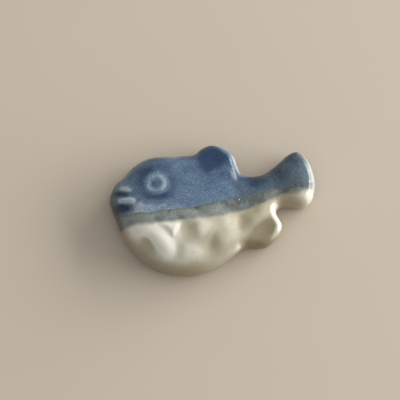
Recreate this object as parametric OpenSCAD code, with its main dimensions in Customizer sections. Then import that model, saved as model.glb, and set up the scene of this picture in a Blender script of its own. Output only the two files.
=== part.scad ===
// Chopstick rest in the shape of a small round fish, lying on its flat side.
// The clay is one smooth form, parted along the seams where the potter joins
// the fins and the relief to the trunk, with a skin of glaze over it.
// +X runs to the tail, +Y to the dorsal fin, +Z up. The origin is under the
// middle of the fish, on the surface that it stands on.

/* [Overall] */
// Length of the clay from the mouth to the end of the tail
fish_length = 54.4; // [44:0.2:70]
// Width of the clay from the belly to the tip of the dorsal fin
fish_width = 35; // [30:0.2:42]
// Height of the plate that carries the fins and the stalk
plate_height = 6.4; // [5.6:0.1:8]
// Rise of the round body above the plate
body_rise = 5; // [3:0.25:6]
// Rise of the tail's end above the plate
tail_rise = 3.2; // [1.5:0.1:4.5]

/* [Edge] */
// Height at which the side wall is widest
widest_level = 2.6; // [2:0.1:3.2]
// How far the flat foot lies inside the widest outline
foot_inset = 1.3; // [0.8:0.1:1.8]
// Radius of the body's rounding above the widest level
rim_radius = 3.6; // [2.8:0.1:4.4]
// Radius of the rounding round the fins and the tail
fin_radius = 1.6; // [1.2:0.1:2.4]
// Reach of the slow dome inward from the edge
dome_reach = 12; // [9:0.5:16]
// Points drawn between two stations of the outline
outline_steps = 2; // [1:1:3]

/* [Fins] */
// Depth of the dish in the dorsal fin
dorsal_dish = 1.6; // [0.4:0.1:2.2]
// Depth of the dish in the anal fin
anal_dish = 1.1; // [0.4:0.1:2.2]
// Depth of the crease between the belly and the anal fin
crease_depth = 0.5; // [0.2:0.1:1.4]
// Thickness of the pectoral fin above the clay
pectoral_thickness = 0.8; // [0.6:0.1:1.2]

/* [Eye] */
// Radius of the middle line of the raised ring
eye_radius = 2.45; // [2.1:0.05:2.9]
// Radius of the ring's round bead
eye_bead = 0.8; // [0.6:0.05:1]
// Radius of the pupil, between the ring's beads
pupil_radius = 1.5; // [1.1:0.05:1.6]
// Height of the pupil's crown above the clay
pupil_rise = 0.6; // [0.5:0.05:0.8]

/* [Mouth] */
// Radius of the bead that forms each lip
lip_radius = 0.8; // [0.7:0.05:1.1]
// Depth of the groove between the lips
mouth_depth = 0.6; // [0.2:0.1:1.2]

/* [Belly] */
// Radius of a belly nub where it meets the clay
nub_radius = 2.5; // [2:0.1:2.8]
// Height of a belly nub above the clay
nub_rise = 0.85; // [0.6:0.05:1.1]

/* [Glaze] */
// Thickness of the fired glaze
glaze = 0.35; // [0.2:0.05:0.45]
// Height above the table at which the glaze stops
glaze_start = 1; // [0.6:0.1:1.6]

/* [Hidden] */

// Every place is given in shares: along the length from the mouth, and across
// the width from the belly.

// Stations from the mouth to the tail, each with its point on the back edge,
// on the line inside the fish, and on the belly edge.
station_shares = [
  [[0.000, 0.592], [0.040, 0.575], [0.000, 0.592]],
  [[0.026, 0.692], [0.070, 0.570], [0.009, 0.519]],
  [[0.063, 0.742], [0.100, 0.565], [0.032, 0.425]],
  [[0.105, 0.819], [0.135, 0.560], [0.056, 0.323]],
  [[0.157, 0.879], [0.180, 0.545], [0.091, 0.229]],
  [[0.220, 0.909], [0.235, 0.530], [0.142, 0.135]],
  [[0.304, 0.910], [0.300, 0.515], [0.215, 0.057]],
  [[0.377, 0.905], [0.362, 0.515], [0.294, 0.014]],
  [[0.419, 0.922], [0.406, 0.523], [0.372, 0.002]],
  [[0.448, 0.968], [0.440, 0.530], [0.441, 0.012]],
  [[0.495, 0.999], [0.485, 0.540], [0.505, 0.049]],
  [[0.551, 0.976], [0.529, 0.548], [0.568, 0.112]],
  [[0.600, 0.914], [0.556, 0.556], [0.620, 0.176]],
  [[0.619, 0.830], [0.583, 0.563], [0.650, 0.213]],
  [[0.645, 0.760], [0.607, 0.571], [0.700, 0.217]],
  [[0.696, 0.744], [0.632, 0.582], [0.762, 0.221]],
  [[0.755, 0.766], [0.661, 0.594], [0.818, 0.296]],
  [[0.804, 0.820], [0.700, 0.606], [0.838, 0.370]],
  [[0.843, 0.873], [0.749, 0.622], [0.813, 0.445]],
  [[0.875, 0.918], [0.803, 0.645], [0.808, 0.495]],
  [[0.916, 0.944], [0.857, 0.672], [0.834, 0.535]],
  [[0.955, 0.899], [0.896, 0.684], [0.888, 0.534]],
  [[0.985, 0.811], [0.926, 0.692], [0.943, 0.530]],
  [[1.000, 0.680], [0.950, 0.680], [0.982, 0.575]],
];

// Seams of the fins, each the outline of the ground that the fin stands on.
dorsal_seam_shares = [[0.405, 0.890], [0.500, 0.845], [0.650, 0.720], [0.680, 0.800], [0.640, 1.200],
                      [0.380, 1.200]];
tail_seam_shares = [[0.770, 0.900], [0.785, 0.640], [0.820, 0.495], [1.100, 0.480], [1.100, 1.200],
                    [0.770, 1.200]];
anal_seam_shares = [[0.815, 0.480], [0.770, 0.445], [0.715, 0.375], [0.675, 0.290], [0.645, 0.195],
                    [0.640, -0.100], [1.000, -0.100], [1.000, 0.475]];

// Upper and lower edge of the band where the two glazes overlap.
upper_line_shares = [[-0.100, 0.400], [0.060, 0.418], [0.267, 0.440], [0.567, 0.525], [0.725, 0.605],
                     [0.880, 0.645], [1.100, 0.720]];
lower_line_shares = [[-0.100, 0.319], [0.250, 0.344], [0.410, 0.369], [0.612, 0.434], [0.727, 0.511],
                     [0.812, 0.574], [0.985, 0.626], [1.100, 0.659]];

// Places of the relief.
eye_share = [0.224, 0.648];
pupil_share = eye_share;
upper_lip_shares = [[0.045, 0.630], [0.100, 0.600]];
lower_lip_shares = [[0.045, 0.536], [0.114, 0.520]];
pectoral_shares = [[0.255, 0.345], [0.345, 0.352], [0.309, 0.255]];

// Belly nubs: place, and size as a share of the largest.
nub_shares = [[0.236, 0.210, 0.8], [0.262, 0.160, 1], [0.408, 0.135, 0.95], [0.465, 0.315, 1],
              [0.587, 0.215, 0.9], [0.160, 0.290, 0.75], [0.580, 0.375, 0.8]];

// Mounds of the upper surface: place, half length and half width as shares of
// the length, turn, and rise as a share of the size that the row names.
body_mound_share = [0.310, 0.500, 0.405, 0.400, 8];
tail_mound_share = [0.970, 0.720, 0.245, 0.300, 0];
dorsal_dish_share = [0.490, 0.860, 0.150, 0.120, -15];
anal_dish_share = [0.752, 0.325, 0.125, 0.105, 45];
crease_share = [0.655, 0.400, 0.105, 0.070, 52];
mouth_share = [0.060, 0.590, 0.085, 0.036, -12];
chin_share = [0.065, 0.480, 0.090, 0.050, -12];

// How much nearer the body's dome counts a place on its tail side, and how far
// before and behind its middle its fall turns gentler.
tailward_share = 0.7;
gentle_share = 0.3;
// Where the rounding passes to the fins' own: away from the body's middle, and
// near the dorsal fin's, in half lengths of their mounds.
fin_edge_shares = [0.78, 1.02];
dorsal_edge_shares = [1.2, 0.8];
// Width of the body's round over its length.
body_width_share = 0.92;

// How much of the rise at the edge belongs to the slow dome.
dome_share = 0.22;
// Most of the way to the inner line that the rim's rounding takes.
band_share = 0.6;
// Angles of the rings on the side wall under the widest level.
under_angles = [-90, -50, -22];
// Angles of the rings on the rounding over the widest level.
rim_angles = [0, 18, 38, 60, 90];
// Rings between the rounding and the inner line.
inner_rings = 5;
// Points round a bead, a nub and a ring.
round_points = 48;
// How far a cutting solid runs past what it cuts.
overrun = 2 * glaze + widest_level;

clay_colour = "#ded8ca";
blue_colour = "#5d7598";
band_colour = "#7c8583";
cream_colour = "#d9d2bd";
pale_blue_colour = "#a3b2c2";

// A place in millimetres from its shares.
function place(share) = [(share[0] - 0.5) * fish_length, (share[1] - 0.5) * fish_width];

// A smooth curve through b and c, between them at t.
function curve_point(a, b, c, d, t) =
  b + ((c - a) * t + (2 * a - 5 * b + 4 * c - d) * t * t + (3 * b - a - 3 * c + d) * t * t * t) / 2;

// A closed row of points made finer by smooth curves.
function fine_loop(row) =
  let (n = len(row))
  [for (i = [0 : n - 1]) for (k = [0 : outline_steps - 1])
    curve_point(row[(i + n - 1) % n], row[i], row[(i + 1) % n], row[(i + 2) % n], k / outline_steps)];

last_station = len(station_shares) - 1;
edge_row = concat([for (s = station_shares) place(s[0])],
                  [for (i = [last_station - 1 : -1 : 1]) place(station_shares[i][2])]);
inner_row = concat([for (s = station_shares) place(s[1])],
                   [for (i = [last_station - 1 : -1 : 1]) place(station_shares[i][1])]);
edge_loop = fine_loop(edge_row);
inner_loop = fine_loop(inner_row);
count = len(edge_loop);

// Distance of p from the piece of outline between a and b.
function gap_to(p, a, b) =
  let (ab = b - a, t = max(0, min(1, ((p - a) * ab) / (ab * ab))))
  norm(p - a - ab * t);

// Distance of p from the outline.
function edge_distance(p) = min([for (i = [0 : count - 1]) gap_to(p, edge_loop[i], edge_loop[(i + 1) % count])]);

// Quarter round that reaches its full height at t = 1.
function quarter_round(t) = t < 1 ? sqrt(1 - pow(1 - t, 2)) : 1;

// 0 at low and 1 at high, with a smooth passage.
function passage(v, ends) =
  let (t = max(0, min(1, (v - ends[0]) / (ends[1] - ends[0]))))
  t * t * (3 - 2 * t);

// Radius of the rounding near p, smaller round the fins and the tail.
function rim_at(p) =
  let (q = p - place(body_mound_share), from_dorsal = norm(p - place(dorsal_dish_share)))
  let (away = norm([q.x, q.y / body_width_share]) / (body_mound_share[2] * fish_length))
  let (near_dorsal = from_dorsal / (dorsal_dish_share[2] * fish_length))
  rim_radius + (fin_radius - rim_radius)
    * max(passage(away, fin_edge_shares), passage(near_dorsal, dorsal_edge_shares));

// Share of the full height at p, which lies a distance from the edge.
function edge_rise(p, d) =
  (1 - dome_share) * quarter_round(d / rim_at(p)) + dome_share * quarter_round(d / dome_reach);

// Squared distance of p from a mound's middle, in half sizes of the mound.
function mound_square(p, row, front_share = 1) =
  let (q = p - place(row), c = cos(row[4]), s = sin(row[4]))
  let (along = (q.x * c + q.y * s) / (row[2] * fish_length))
  pow(along > 0 ? along * front_share : along, 2) + pow((q.y * c - q.x * s) / (row[3] * fish_length), 2);

// Broad mound with a flat top, which falls more gently towards the tail.
function broad(p, row) =
  let (r = mound_square(p, row, tailward_share))
  let (tailward = passage((p - place(row)).x / fish_length, [-gentle_share, gentle_share]))
  r < 1 ? pow(1 - pow(r, 2 - tailward / 2), 2) : 0;

// Small soft mound.
function soft(p, row) = let (r = mound_square(p, row)) r < 1 ? pow(1 - r, 2) : 0;

// Height that the clay would have at p far from any edge.
function full_height(p) =
  plate_height + body_rise * broad(p, body_mound_share) + tail_rise * soft(p, tail_mound_share)
  - dorsal_dish * soft(p, dorsal_dish_share) - anal_dish * soft(p, anal_dish_share)
  - crease_depth * soft(p, crease_share)
  - mouth_depth * (soft(p, mouth_share) + soft(p, chin_share));

// Height of the clay at p.
function clay_height(p) = widest_level + (full_height(p) - widest_level) * edge_rise(p, edge_distance(p));

// The form as rings of points from the foot up to the inner line.
function under_point(i, angle) =
  let (e = edge_loop[i], q = inner_loop[i], way = (q - e) / norm(q - e))
  let (p = e + way * foot_inset * (1 - cos(angle)))
  [p.x, p.y, widest_level * (1 + sin(angle))];
function over_point(i, part) =
  let (e = edge_loop[i], q = inner_loop[i])
  let (p = e + (q - e) * part)
  [p.x, p.y, clay_height(p)];
function band_part(i) =
  let (reach = norm(inner_loop[i] - edge_loop[i]))
  min(rim_at(edge_loop[i]) / reach, band_share);

under_rings = [for (a = under_angles) [for (i = [0 : count - 1]) under_point(i, a)]];
rim_rings = [for (a = rim_angles) [for (i = [0 : count - 1]) over_point(i, band_part(i) * (1 - cos(a)))]];
top_rings = [for (k = [1 : inner_rings]) [for (i = [0 : count - 1])
  over_point(i, band_part(i) + (1 - band_part(i)) * k / (inner_rings + 1))]];
rings = concat(under_rings, rim_rings, top_rings);
ring_count = len(rings);
half_count = count / 2;
base_line = [for (i = [0 : half_count]) [inner_loop[i].x, inner_loop[i].y, 0]];
crown_line = [for (i = [0 : half_count]) [inner_loop[i].x, inner_loop[i].y, clay_height(inner_loop[i])]];

// Number of a ring's point, of a point under the inner line and of one on it.
function ring_id(k, i) = k * count + i % count;
function line_id(i) = let (j = i % count) min(j, count - j);
function base_id(i) = ring_count * count + line_id(i);
function crown_id(i) = ring_count * count + half_count + 1 + line_id(i);

// Point i of ring k, or of the lines that close the form below and above.
function ring_point(k, i) =
  k < 0 ? base_line[line_id(i)] : k >= ring_count ? crown_line[line_id(i)] : rings[k][i % count];

// Outward direction at a point of a ring.
function outward(k, i) =
  let (n = cross(ring_point(k, i + 1) - ring_point(k, i + count - 1), ring_point(k - 1, i) - ring_point(k + 1, i)))
  n / norm(n);

// Number of point i of ring k, or of the lines that close the form.
function point_id(k, i) = k < 0 ? base_id(i) : k >= ring_count ? crown_id(i) : ring_id(k, i);

// Two triangles between ring k and the next, split along the shorter diagonal.
// Next to an end of the closing lines the split runs to that end, because both
// sides share the line's points.
function field(k, i) =
  let (a = point_id(k, i), b = point_id(k, i + 1), c = point_id(k + 1, i + 1), d = point_id(k + 1, i))
  let (ac = norm(ring_point(k + 1, i + 1) - ring_point(k, i)), bd = norm(ring_point(k, i + 1) - ring_point(k + 1, i)))
  let (past_end = i % half_count == 0, before_end = (i + 1) % half_count == 0)
  let (along_ac = k < 0 ? past_end : k == ring_count - 1 && before_end)
  let (along_bd = k < 0 ? before_end : k == ring_count - 1 && past_end)
  along_ac || (ac < bd && !along_bd) ? [[a, b, c], [a, c, d]] : [[a, b, d], [b, c, d]];

form_faces = [for (k = [-1 : ring_count - 1]) for (i = [0 : count - 1]) each field(k, i)];

// The whole clay form, grown on all sides by a thickness.
module form(growth) {
  up = [0, 0, growth];
  points = concat(
    [for (k = [0 : ring_count - 1]) for (i = [0 : count - 1])
      rings[k][i] + (growth > 0 ? outward(k, i) * growth : up)],
    [for (p = base_line) p - up],
    [for (p = crown_line) p + up]);
  polyhedron(points, form_faces);
}

// An upright block over a patch of ground.
module upright(shares, from = 0) {
  translate([0, 0, from - overrun * (from > 0 ? 0 : 1)])
    linear_extrude(height = plate_height + body_rise + tail_rise + 2 * overrun)
      polygon([for (s = shares) place(s)]);
}

// Where a piece of relief sits: on the clay at a place, square to its slope.
slope_reach = eye_bead;
module seat(share) {
  p = place(share);
  across = (clay_height(p + [slope_reach, 0]) - clay_height(p - [slope_reach, 0])) / (2 * slope_reach);
  along = (clay_height(p + [0, slope_reach]) - clay_height(p - [0, slope_reach])) / (2 * slope_reach);
  translate([p.x, p.y, clay_height(p)])
    rotate([atan(along), -atan(across), 0])
      children();
}

// A bead that lies along the clay between two places.
module bead(shares, radius) {
  a = place(shares[0]);
  b = place(shares[1]);
  lift = radius / 4;
  start = [a.x, a.y, clay_height(a) + lift];
  way = [b.x, b.y, clay_height(b) + lift] - start;
  translate(start)
    rotate([0, acos(way.z / norm(way)), atan2(way.y, way.x)]) {
      cylinder(h = norm(way), r = radius, $fn = round_points);
      sphere(r = radius, $fn = round_points);
      translate([0, 0, norm(way)])
        sphere(r = radius, $fn = round_points);
    }
}

// A round crown that stands up by a rise and meets the clay at a radius.
module crown(radius, rise) {
  ball = (radius * radius + rise * rise) / (2 * rise);
  intersection() {
    translate([0, 0, rise - ball])
      sphere(r = ball, $fn = round_points);
    cylinder(h = 2 * rise, r = radius, center = true, $fn = round_points);
  }
}

module eye_ring_blank() {
  seat(eye_share)
    rotate_extrude($fn = round_points)
      translate([eye_radius, 0])
        circle(r = eye_bead, $fn = round_points);
}

module pupil_blank() {
  seat(pupil_share)
    crown(pupil_radius, pupil_rise);
}

module pectoral_blank() {
  middle = (pectoral_shares[0] + pectoral_shares[1] + pectoral_shares[2]) / 3;
  seat(middle)
    translate([0, 0, -2 * pectoral_thickness])
      linear_extrude(height = 3 * pectoral_thickness)
        polygon([for (s = pectoral_shares) place(s) - place(middle)]);
}

module nub_blanks() {
  for (s = nub_shares)
    seat(s)
      crown(nub_radius * s[2], nub_rise * s[2]);
}

module on_clay() {
  difference() {
    children();
    form(0);
  }
}

module trunk() {
  color(clay_colour)
    difference() {
      form(0);
      upright(dorsal_seam_shares);
      upright(tail_seam_shares);
      upright(anal_seam_shares);
    }
}

module parted_fin(shares) {
  color(clay_colour)
    intersection() {
      form(0);
      upright(shares);
    }
}

module tail_fin() {
  parted_fin(tail_seam_shares);
}

module dorsal_fin() {
  parted_fin(dorsal_seam_shares);
}

module anal_fin() {
  parted_fin(anal_seam_shares);
}

module pectoral_fin() {
  color(cream_colour)
    on_clay()
      pectoral_blank();
}

module eye_ring() {
  color(pale_blue_colour)
    on_clay()
      eye_ring_blank();
}

module eye_pupil() {
  color(blue_colour)
    on_clay()
      pupil_blank();
}

module upper_lip() {
  color(pale_blue_colour)
    on_clay()
      bead(upper_lip_shares, lip_radius);
}

module lower_lip() {
  color(pale_blue_colour)
    on_clay()
      bead(lower_lip_shares, lip_radius);
}

module belly_nubs() {
  color(cream_colour)
    on_clay()
      nub_blanks();
}

// The skin of glaze over a patch of the fish, open round the relief given.
module glaze_skin(shares) {
  difference() {
    intersection() {
      form(glaze);
      upright(shares, glaze_start);
    }
    form(0);
    children();
  }
}

// Corners that close a patch on the back side and on the belly side.
back_corner_shares = [[1.100, 1.200], [-0.100, 1.200]];
belly_corner_shares = [[1.100, -0.200], [-0.100, -0.200]];

function backward(row) = [for (i = [len(row) - 1 : -1 : 0]) row[i]];

module blue_glaze() {
  color(blue_colour)
    glaze_skin(concat(upper_line_shares, back_corner_shares)) {
      eye_ring_blank();
      pupil_blank();
      bead(upper_lip_shares, lip_radius);
      bead(lower_lip_shares, lip_radius);
    }
}

module band_glaze() {
  color(band_colour)
    glaze_skin(concat(upper_line_shares, backward(lower_line_shares)))
      nub_blanks();
}

module cream_glaze() {
  color(cream_colour)
    glaze_skin(concat(lower_line_shares, belly_corner_shares)) {
      pectoral_blank();
      nub_blanks();
    }
}

trunk();
tail_fin();
dorsal_fin();
anal_fin();
pectoral_fin();
eye_ring();
eye_pupil();
upper_lip();
lower_lip();
belly_nubs();
blue_glaze();
band_glaze();
cream_glaze();
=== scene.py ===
import math

import bpy
import numpy as np
from bpy.props import FloatProperty, FloatVectorProperty, PointerProperty
from bpy.types import Operator, Panel, PropertyGroup
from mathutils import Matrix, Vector
from mathutils.geometry import delaunay_2d_cdt


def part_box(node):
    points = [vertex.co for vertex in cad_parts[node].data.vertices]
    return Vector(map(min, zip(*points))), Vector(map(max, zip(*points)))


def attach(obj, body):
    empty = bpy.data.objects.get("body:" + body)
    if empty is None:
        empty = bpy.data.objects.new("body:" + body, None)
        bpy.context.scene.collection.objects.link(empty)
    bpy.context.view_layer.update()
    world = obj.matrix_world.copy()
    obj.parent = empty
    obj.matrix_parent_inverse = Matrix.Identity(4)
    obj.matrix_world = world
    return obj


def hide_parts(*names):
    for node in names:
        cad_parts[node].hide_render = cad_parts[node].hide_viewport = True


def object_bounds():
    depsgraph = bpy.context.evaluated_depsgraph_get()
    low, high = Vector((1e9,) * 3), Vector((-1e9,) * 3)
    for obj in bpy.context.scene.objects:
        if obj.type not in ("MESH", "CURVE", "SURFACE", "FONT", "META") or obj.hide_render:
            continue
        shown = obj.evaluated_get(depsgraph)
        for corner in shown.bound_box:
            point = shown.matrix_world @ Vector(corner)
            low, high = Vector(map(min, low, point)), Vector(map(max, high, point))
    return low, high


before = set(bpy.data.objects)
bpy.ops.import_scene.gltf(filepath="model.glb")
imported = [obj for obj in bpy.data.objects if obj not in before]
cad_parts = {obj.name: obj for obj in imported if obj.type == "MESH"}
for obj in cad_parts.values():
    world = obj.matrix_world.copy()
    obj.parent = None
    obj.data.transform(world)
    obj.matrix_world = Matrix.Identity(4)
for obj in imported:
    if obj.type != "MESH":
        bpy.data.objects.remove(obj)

bl_info = {
    "name": "Fish Chopstick Rest",
    "version": (1, 0, 0),
    "blender": (4, 5, 0),
    "location": "View3D > Sidebar > Chopstick Rest",
    "description": "Builds a glazed ceramic chopstick rest in the shape of a small round fish",
    "category": "Add Mesh",
}

# Shapes are worked out in millimetres and turned into metres when a mesh is made.
MM = 0.001

# The frame's own sizes.
CAD_LOW, CAD_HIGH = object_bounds()
CLAY_NODES = ("trunk", "tail_fin", "dorsal_fin", "anal_fin")


def frame_corners(nodes):
    """Lowest and highest corner of some CAD nodes together, in millimetres."""
    boxes = [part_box(node) for node in nodes]
    low = [min(box[0][k] for box in boxes) / MM for k in range(3)]
    high = [max(box[1][k] for box in boxes) / MM for k in range(3)]
    return np.array(low), np.array(high)


CLAY_LOW, CLAY_HIGH = frame_corners(CLAY_NODES)
LENGTH, WIDTH, HEIGHT = CLAY_HIGH - CLAY_LOW
GLAZE = CAD_HIGH.y / MM - CLAY_HIGH[1]
EYE_LOW, EYE_HIGH = frame_corners(["eye_ring"])

# Places are shares: along the length from the mouth, and across the width from
# the belly. Stations from the mouth to the tail give the back and belly edge.
BACK_SHARES = [
    (0.000, 0.592), (0.026, 0.692), (0.063, 0.742), (0.105, 0.819), (0.157, 0.879), (0.220, 0.909),
    (0.304, 0.910), (0.377, 0.905), (0.419, 0.922), (0.448, 0.968), (0.495, 0.999), (0.551, 0.976),
    (0.600, 0.914), (0.619, 0.830), (0.645, 0.760), (0.696, 0.744), (0.755, 0.766), (0.804, 0.820),
    (0.843, 0.873), (0.875, 0.918), (0.916, 0.944), (0.955, 0.899), (0.985, 0.811), (1.000, 0.680),
]
BELLY_SHARES = [
    (0.009, 0.519), (0.032, 0.425), (0.056, 0.323), (0.091, 0.229), (0.142, 0.135), (0.215, 0.057),
    (0.294, 0.014), (0.372, 0.002), (0.441, 0.012), (0.505, 0.049), (0.568, 0.112), (0.620, 0.176),
    (0.650, 0.213), (0.700, 0.217), (0.762, 0.221), (0.818, 0.296), (0.838, 0.370), (0.813, 0.445),
    (0.808, 0.495), (0.834, 0.535), (0.888, 0.534), (0.943, 0.530), (0.982, 0.575),
]
SEAM_SHARES = {
    "dorsal_fin": [(0.380, 1.200), (0.405, 0.890), (0.500, 0.845), (0.650, 0.720), (0.680, 0.800),
                   (0.640, 1.200)],
    "tail_fin": [(0.770, 1.200), (0.770, 0.900), (0.785, 0.640), (0.820, 0.495), (1.100, 0.480),
                 (1.100, 1.200)],
    "anal_fin": [(0.640, -0.100), (0.645, 0.195), (0.675, 0.290), (0.715, 0.375), (0.770, 0.445),
                 (0.815, 0.480), (1.000, 0.475), (1.000, -0.100)],
}
UPPER_LINE_SHARES = [(-0.100, 0.400), (0.060, 0.418), (0.267, 0.440), (0.567, 0.525), (0.725, 0.605),
                     (0.880, 0.645), (1.100, 0.720)]
LOWER_LINE_SHARES = [(-0.100, 0.319), (0.250, 0.344), (0.410, 0.369), (0.612, 0.434), (0.727, 0.511),
                     (0.812, 0.574), (0.985, 0.626), (1.100, 0.659)]

# Mounds of the clay: place, half length and half width as shares of the
# length, and turn in degrees.
BODY_MOUND = (0.310, 0.500, 0.405, 0.400, 8)
TAILWARD_SHARE = 0.70
TAIL_MOUND = (0.970, 0.720, 0.245, 0.300, 0)
DORSAL_DISH = (0.490, 0.860, 0.150, 0.120, -15)
ANAL_DISH = (0.752, 0.325, 0.125, 0.105, 45)
CREASE = (0.655, 0.400, 0.105, 0.070, 52)
CREST_SHARES = [(0.640, 0.180), (0.700, 0.325), (0.745, 0.425), (0.800, 0.550)]
MOUTH = (0.060, 0.590, 0.085, 0.036, -12)
CHIN = (0.065, 0.480, 0.090, 0.050, -12)

# Places of the relief.
EYE_SHARE = (0.224, 0.648)
UPPER_LIP_SHARES = [(0.045, 0.630), (0.100, 0.600)]
LOWER_LIP_SHARES = [(0.045, 0.536), (0.114, 0.520)]
UPPER_GROOVE_SHARES = [(0.018, 0.598), (0.077, 0.575)]
LOWER_GROOVE_SHARES = [(0.033, 0.485), (0.086, 0.468)]
PECTORAL_SHARES = [(0.255, 0.345), (0.345, 0.352), (0.309, 0.255)]

# Lumps of the belly: place, half length and half width as shares of the
# length, turn in degrees, and rise in millimetres. First the nubs, then the
# low swells and hollows between them.
NUB_LUMPS = [
    (0.254, 0.204, 0.064, 0.034, -42, 0.56), (0.408, 0.138, 0.055, 0.042, -10, 0.25),
    (0.460, 0.315, 0.056, 0.045, 15, 0.48), (0.590, 0.220, 0.065, 0.052, 0, 0.30),
    (0.160, 0.290, 0.050, 0.042, 0, 0.28), (0.580, 0.375, 0.056, 0.046, 10, 0.16),
]
SOFT_LUMPS = [
    (0.185, 0.372, 0.050, 0.034, 10, 0.30), (0.395, 0.390, 0.044, 0.030, 10, 0.32),
    (0.512, 0.424, 0.046, 0.030, 12, 0.30), (0.640, 0.486, 0.044, 0.030, 20, 0.30),
    (0.175, 0.185, 0.058, 0.040, -50, -0.30), (0.385, 0.290, 0.048, 0.060, 10, -0.35),
    (0.330, 0.130, 0.036, 0.060, -20, -0.16), (0.510, 0.150, 0.050, 0.040, 70, -0.18),
    (0.650, 0.350, 0.050, 0.060, 50, -0.32),
]

# Where the glaze ran thicker or thinner than elsewhere, and where some rows darken
# places as painted shade or lighten them as painted light: place, half length and
# half width as shares of the length, turn in degrees, and how much thicker.
POOLS_AND_PAINTED_SHADING = [
    (0.492, 0.895, 0.070, 0.052, -10, 0.60), (0.560, 0.740, 0.070, 0.050, -40, -0.12),
    (0.180, 0.820, 0.120, 0.055, 40, 0.32), (0.710, 0.680, 0.100, 0.055, 10, 0.40),
    (0.190, 0.472, 0.120, 0.038, 5, -0.22), (0.350, 0.600, 0.110, 0.045, 5, -0.06),
    (0.232, 0.555, 0.075, 0.028, 0, 0.36), (0.480, 0.740, 0.120, 0.080, 0, 0.24),
    (0.305, 0.325, 0.035, 0.030, 0, -0.20), (0.840, 0.700, 0.080, 0.060, 30, -0.12),
    (0.045, 0.460, 0.050, 0.030, -20, 0.40), (0.890, 0.800, 0.100, 0.070, 60, 0.20),
    (0.560, 0.680, 0.150, 0.100, -20, 0.26), (0.650, 0.515, 0.100, 0.040, 15, 0.44),
    (0.505, 0.225, 0.045, 0.060, 0, 0.16), (0.220, 0.290, 0.140, 0.080, 0, -0.26),
    (0.395, 0.290, 0.030, 0.045, 0, 0.05), (0.258, 0.202, 0.052, 0.028, -42, -0.62),
    (0.408, 0.138, 0.055, 0.040, -10, 0.08), (0.590, 0.220, 0.060, 0.050, 0, 0.12),
    (0.224, 0.648, 0.024, 0.024, 0, 0.24), (0.880, 0.620, 0.070, 0.030, 10, 0.18),
    (0.205, 0.545, 0.050, 0.020, -10, 0.10), (0.262, 0.560, 0.045, 0.022, 25, 0.18),
    (0.060, 0.475, 0.035, 0.018, -10, 0.44), (0.320, 0.070, 0.180, 0.050, -8, -0.12),
    (0.460, 0.315, 0.050, 0.040, 15, 0.13), (0.740, 0.305, 0.075, 0.050, 45, 0.44),
    (0.710, 0.225, 0.050, 0.035, 0, 0.40), (0.165, 0.648, 0.030, 0.045, 0, 0.20),
    (0.110, 0.400, 0.070, 0.030, 0, -0.15), (0.370, 0.420, 0.060, 0.030, 5, -0.20),
    (0.935, 0.540, 0.060, 0.035, 10, -0.22), (0.190, 0.205, 0.055, 0.024, -45, 0.20),
    (0.520, 0.245, 0.030, 0.050, -20, 0.10), (0.725, 0.455, 0.045, 0.030, 50, 0.16),
]

# Shape of the mounds and of the edge. The softening is the passage inward from
# the edge to heights without a crease, and it starts sooner round the fins.
LUMP_FLATNESS = 1.25
SOFT_MOUND_FALL = 2.3
BROAD_MOUND_FLATNESS = 2.0
TAILWARD_FLATNESS_LOSS = 0.5
CREST_REACH = 1.6
DOME_SHARE = 0.22
DOME_SOFTENING = (2.0, 6.0)
ROUND_FULLNESS = 2.0
FIN_FULLNESS = 2.0
SOFTENING_START = 1.3
SOFTENING_REACH = 2.0
FIN_SOFTENING_LEAD = 0.15
FIN_SOFTENING_CUT = 0.5

# Where the edge counts as a fin's: distances in half sizes from the body's
# mound, whose width is a share of its length here, and from the dorsal dish.
BODY_WIDTH_SHARE = 0.92
OFF_BODY = (0.78, 1.02)
BY_DORSAL = (1.2, 0.8)

# How far heights are blurred, for the edge, the dome and the glaze's pools.
RIM_BLUR = 0.8
DOME_BLUR = 2.2
POOL_BLUR = 1.2
BROAD_POOL_BLUR = 3.0

# Shape of the eye and the lips. The insets are measured inward from the eye's
# radius, and the shares are of the height of the ring or of the lips.
EYE_RING_INSET = 0.15
EYE_RING_REACH = 0.80
PUPIL_SHARE = 0.30
PUPIL_REACH = 0.9
MOAT_DISTANCE = 2.2
MOAT_REACH = 1.3
MOAT_SHARE = 0.25
LIP_REACH = 0.72
GROOVE_SHARE = 0.55
GROOVES = ((UPPER_GROOVE_SHARES, 0.90), (LOWER_GROOVE_SHARES, 1.25))
BEAD_MARGIN = 0.85

# Shape of the pectoral fin: how far its face fades past its edge, its raised
# outer edge, and the groove on its inner side with the shift of its line.
PECTORAL_FADE = (-0.90, 0.80)
PECTORAL_FACE = 0.78
PECTORAL_TILT = 0.10
PECTORAL_EDGE_SHARE = 0.15
PECTORAL_EDGE_REACH = 0.90
PECTORAL_EDGE_FADE = (-0.9, 0.3)
PECTORAL_GROOVE_SHARE = 0.24
PECTORAL_GROOVE_REACH = 0.80
PECTORAL_GROOVE_SHIFT = (0.70, 0.15)
PECTORAL_TOP_REACH = 1.6
PECTORAL_TOP_SHARE = 0.15
PECTORAL_PATCH_SCALE = 1.12

# How much thicker or thinner the glaze lies on the relief.
MOAT_POOL = 0.18
GROOVE_POOL = 0.42
RING_THINNING = 0.42
LIP_THINNING = 0.68
PECTORAL_THINNING = 0.22
RING_TONE_INSET = 0.25
RING_TONE_REACH = 0.95

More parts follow.
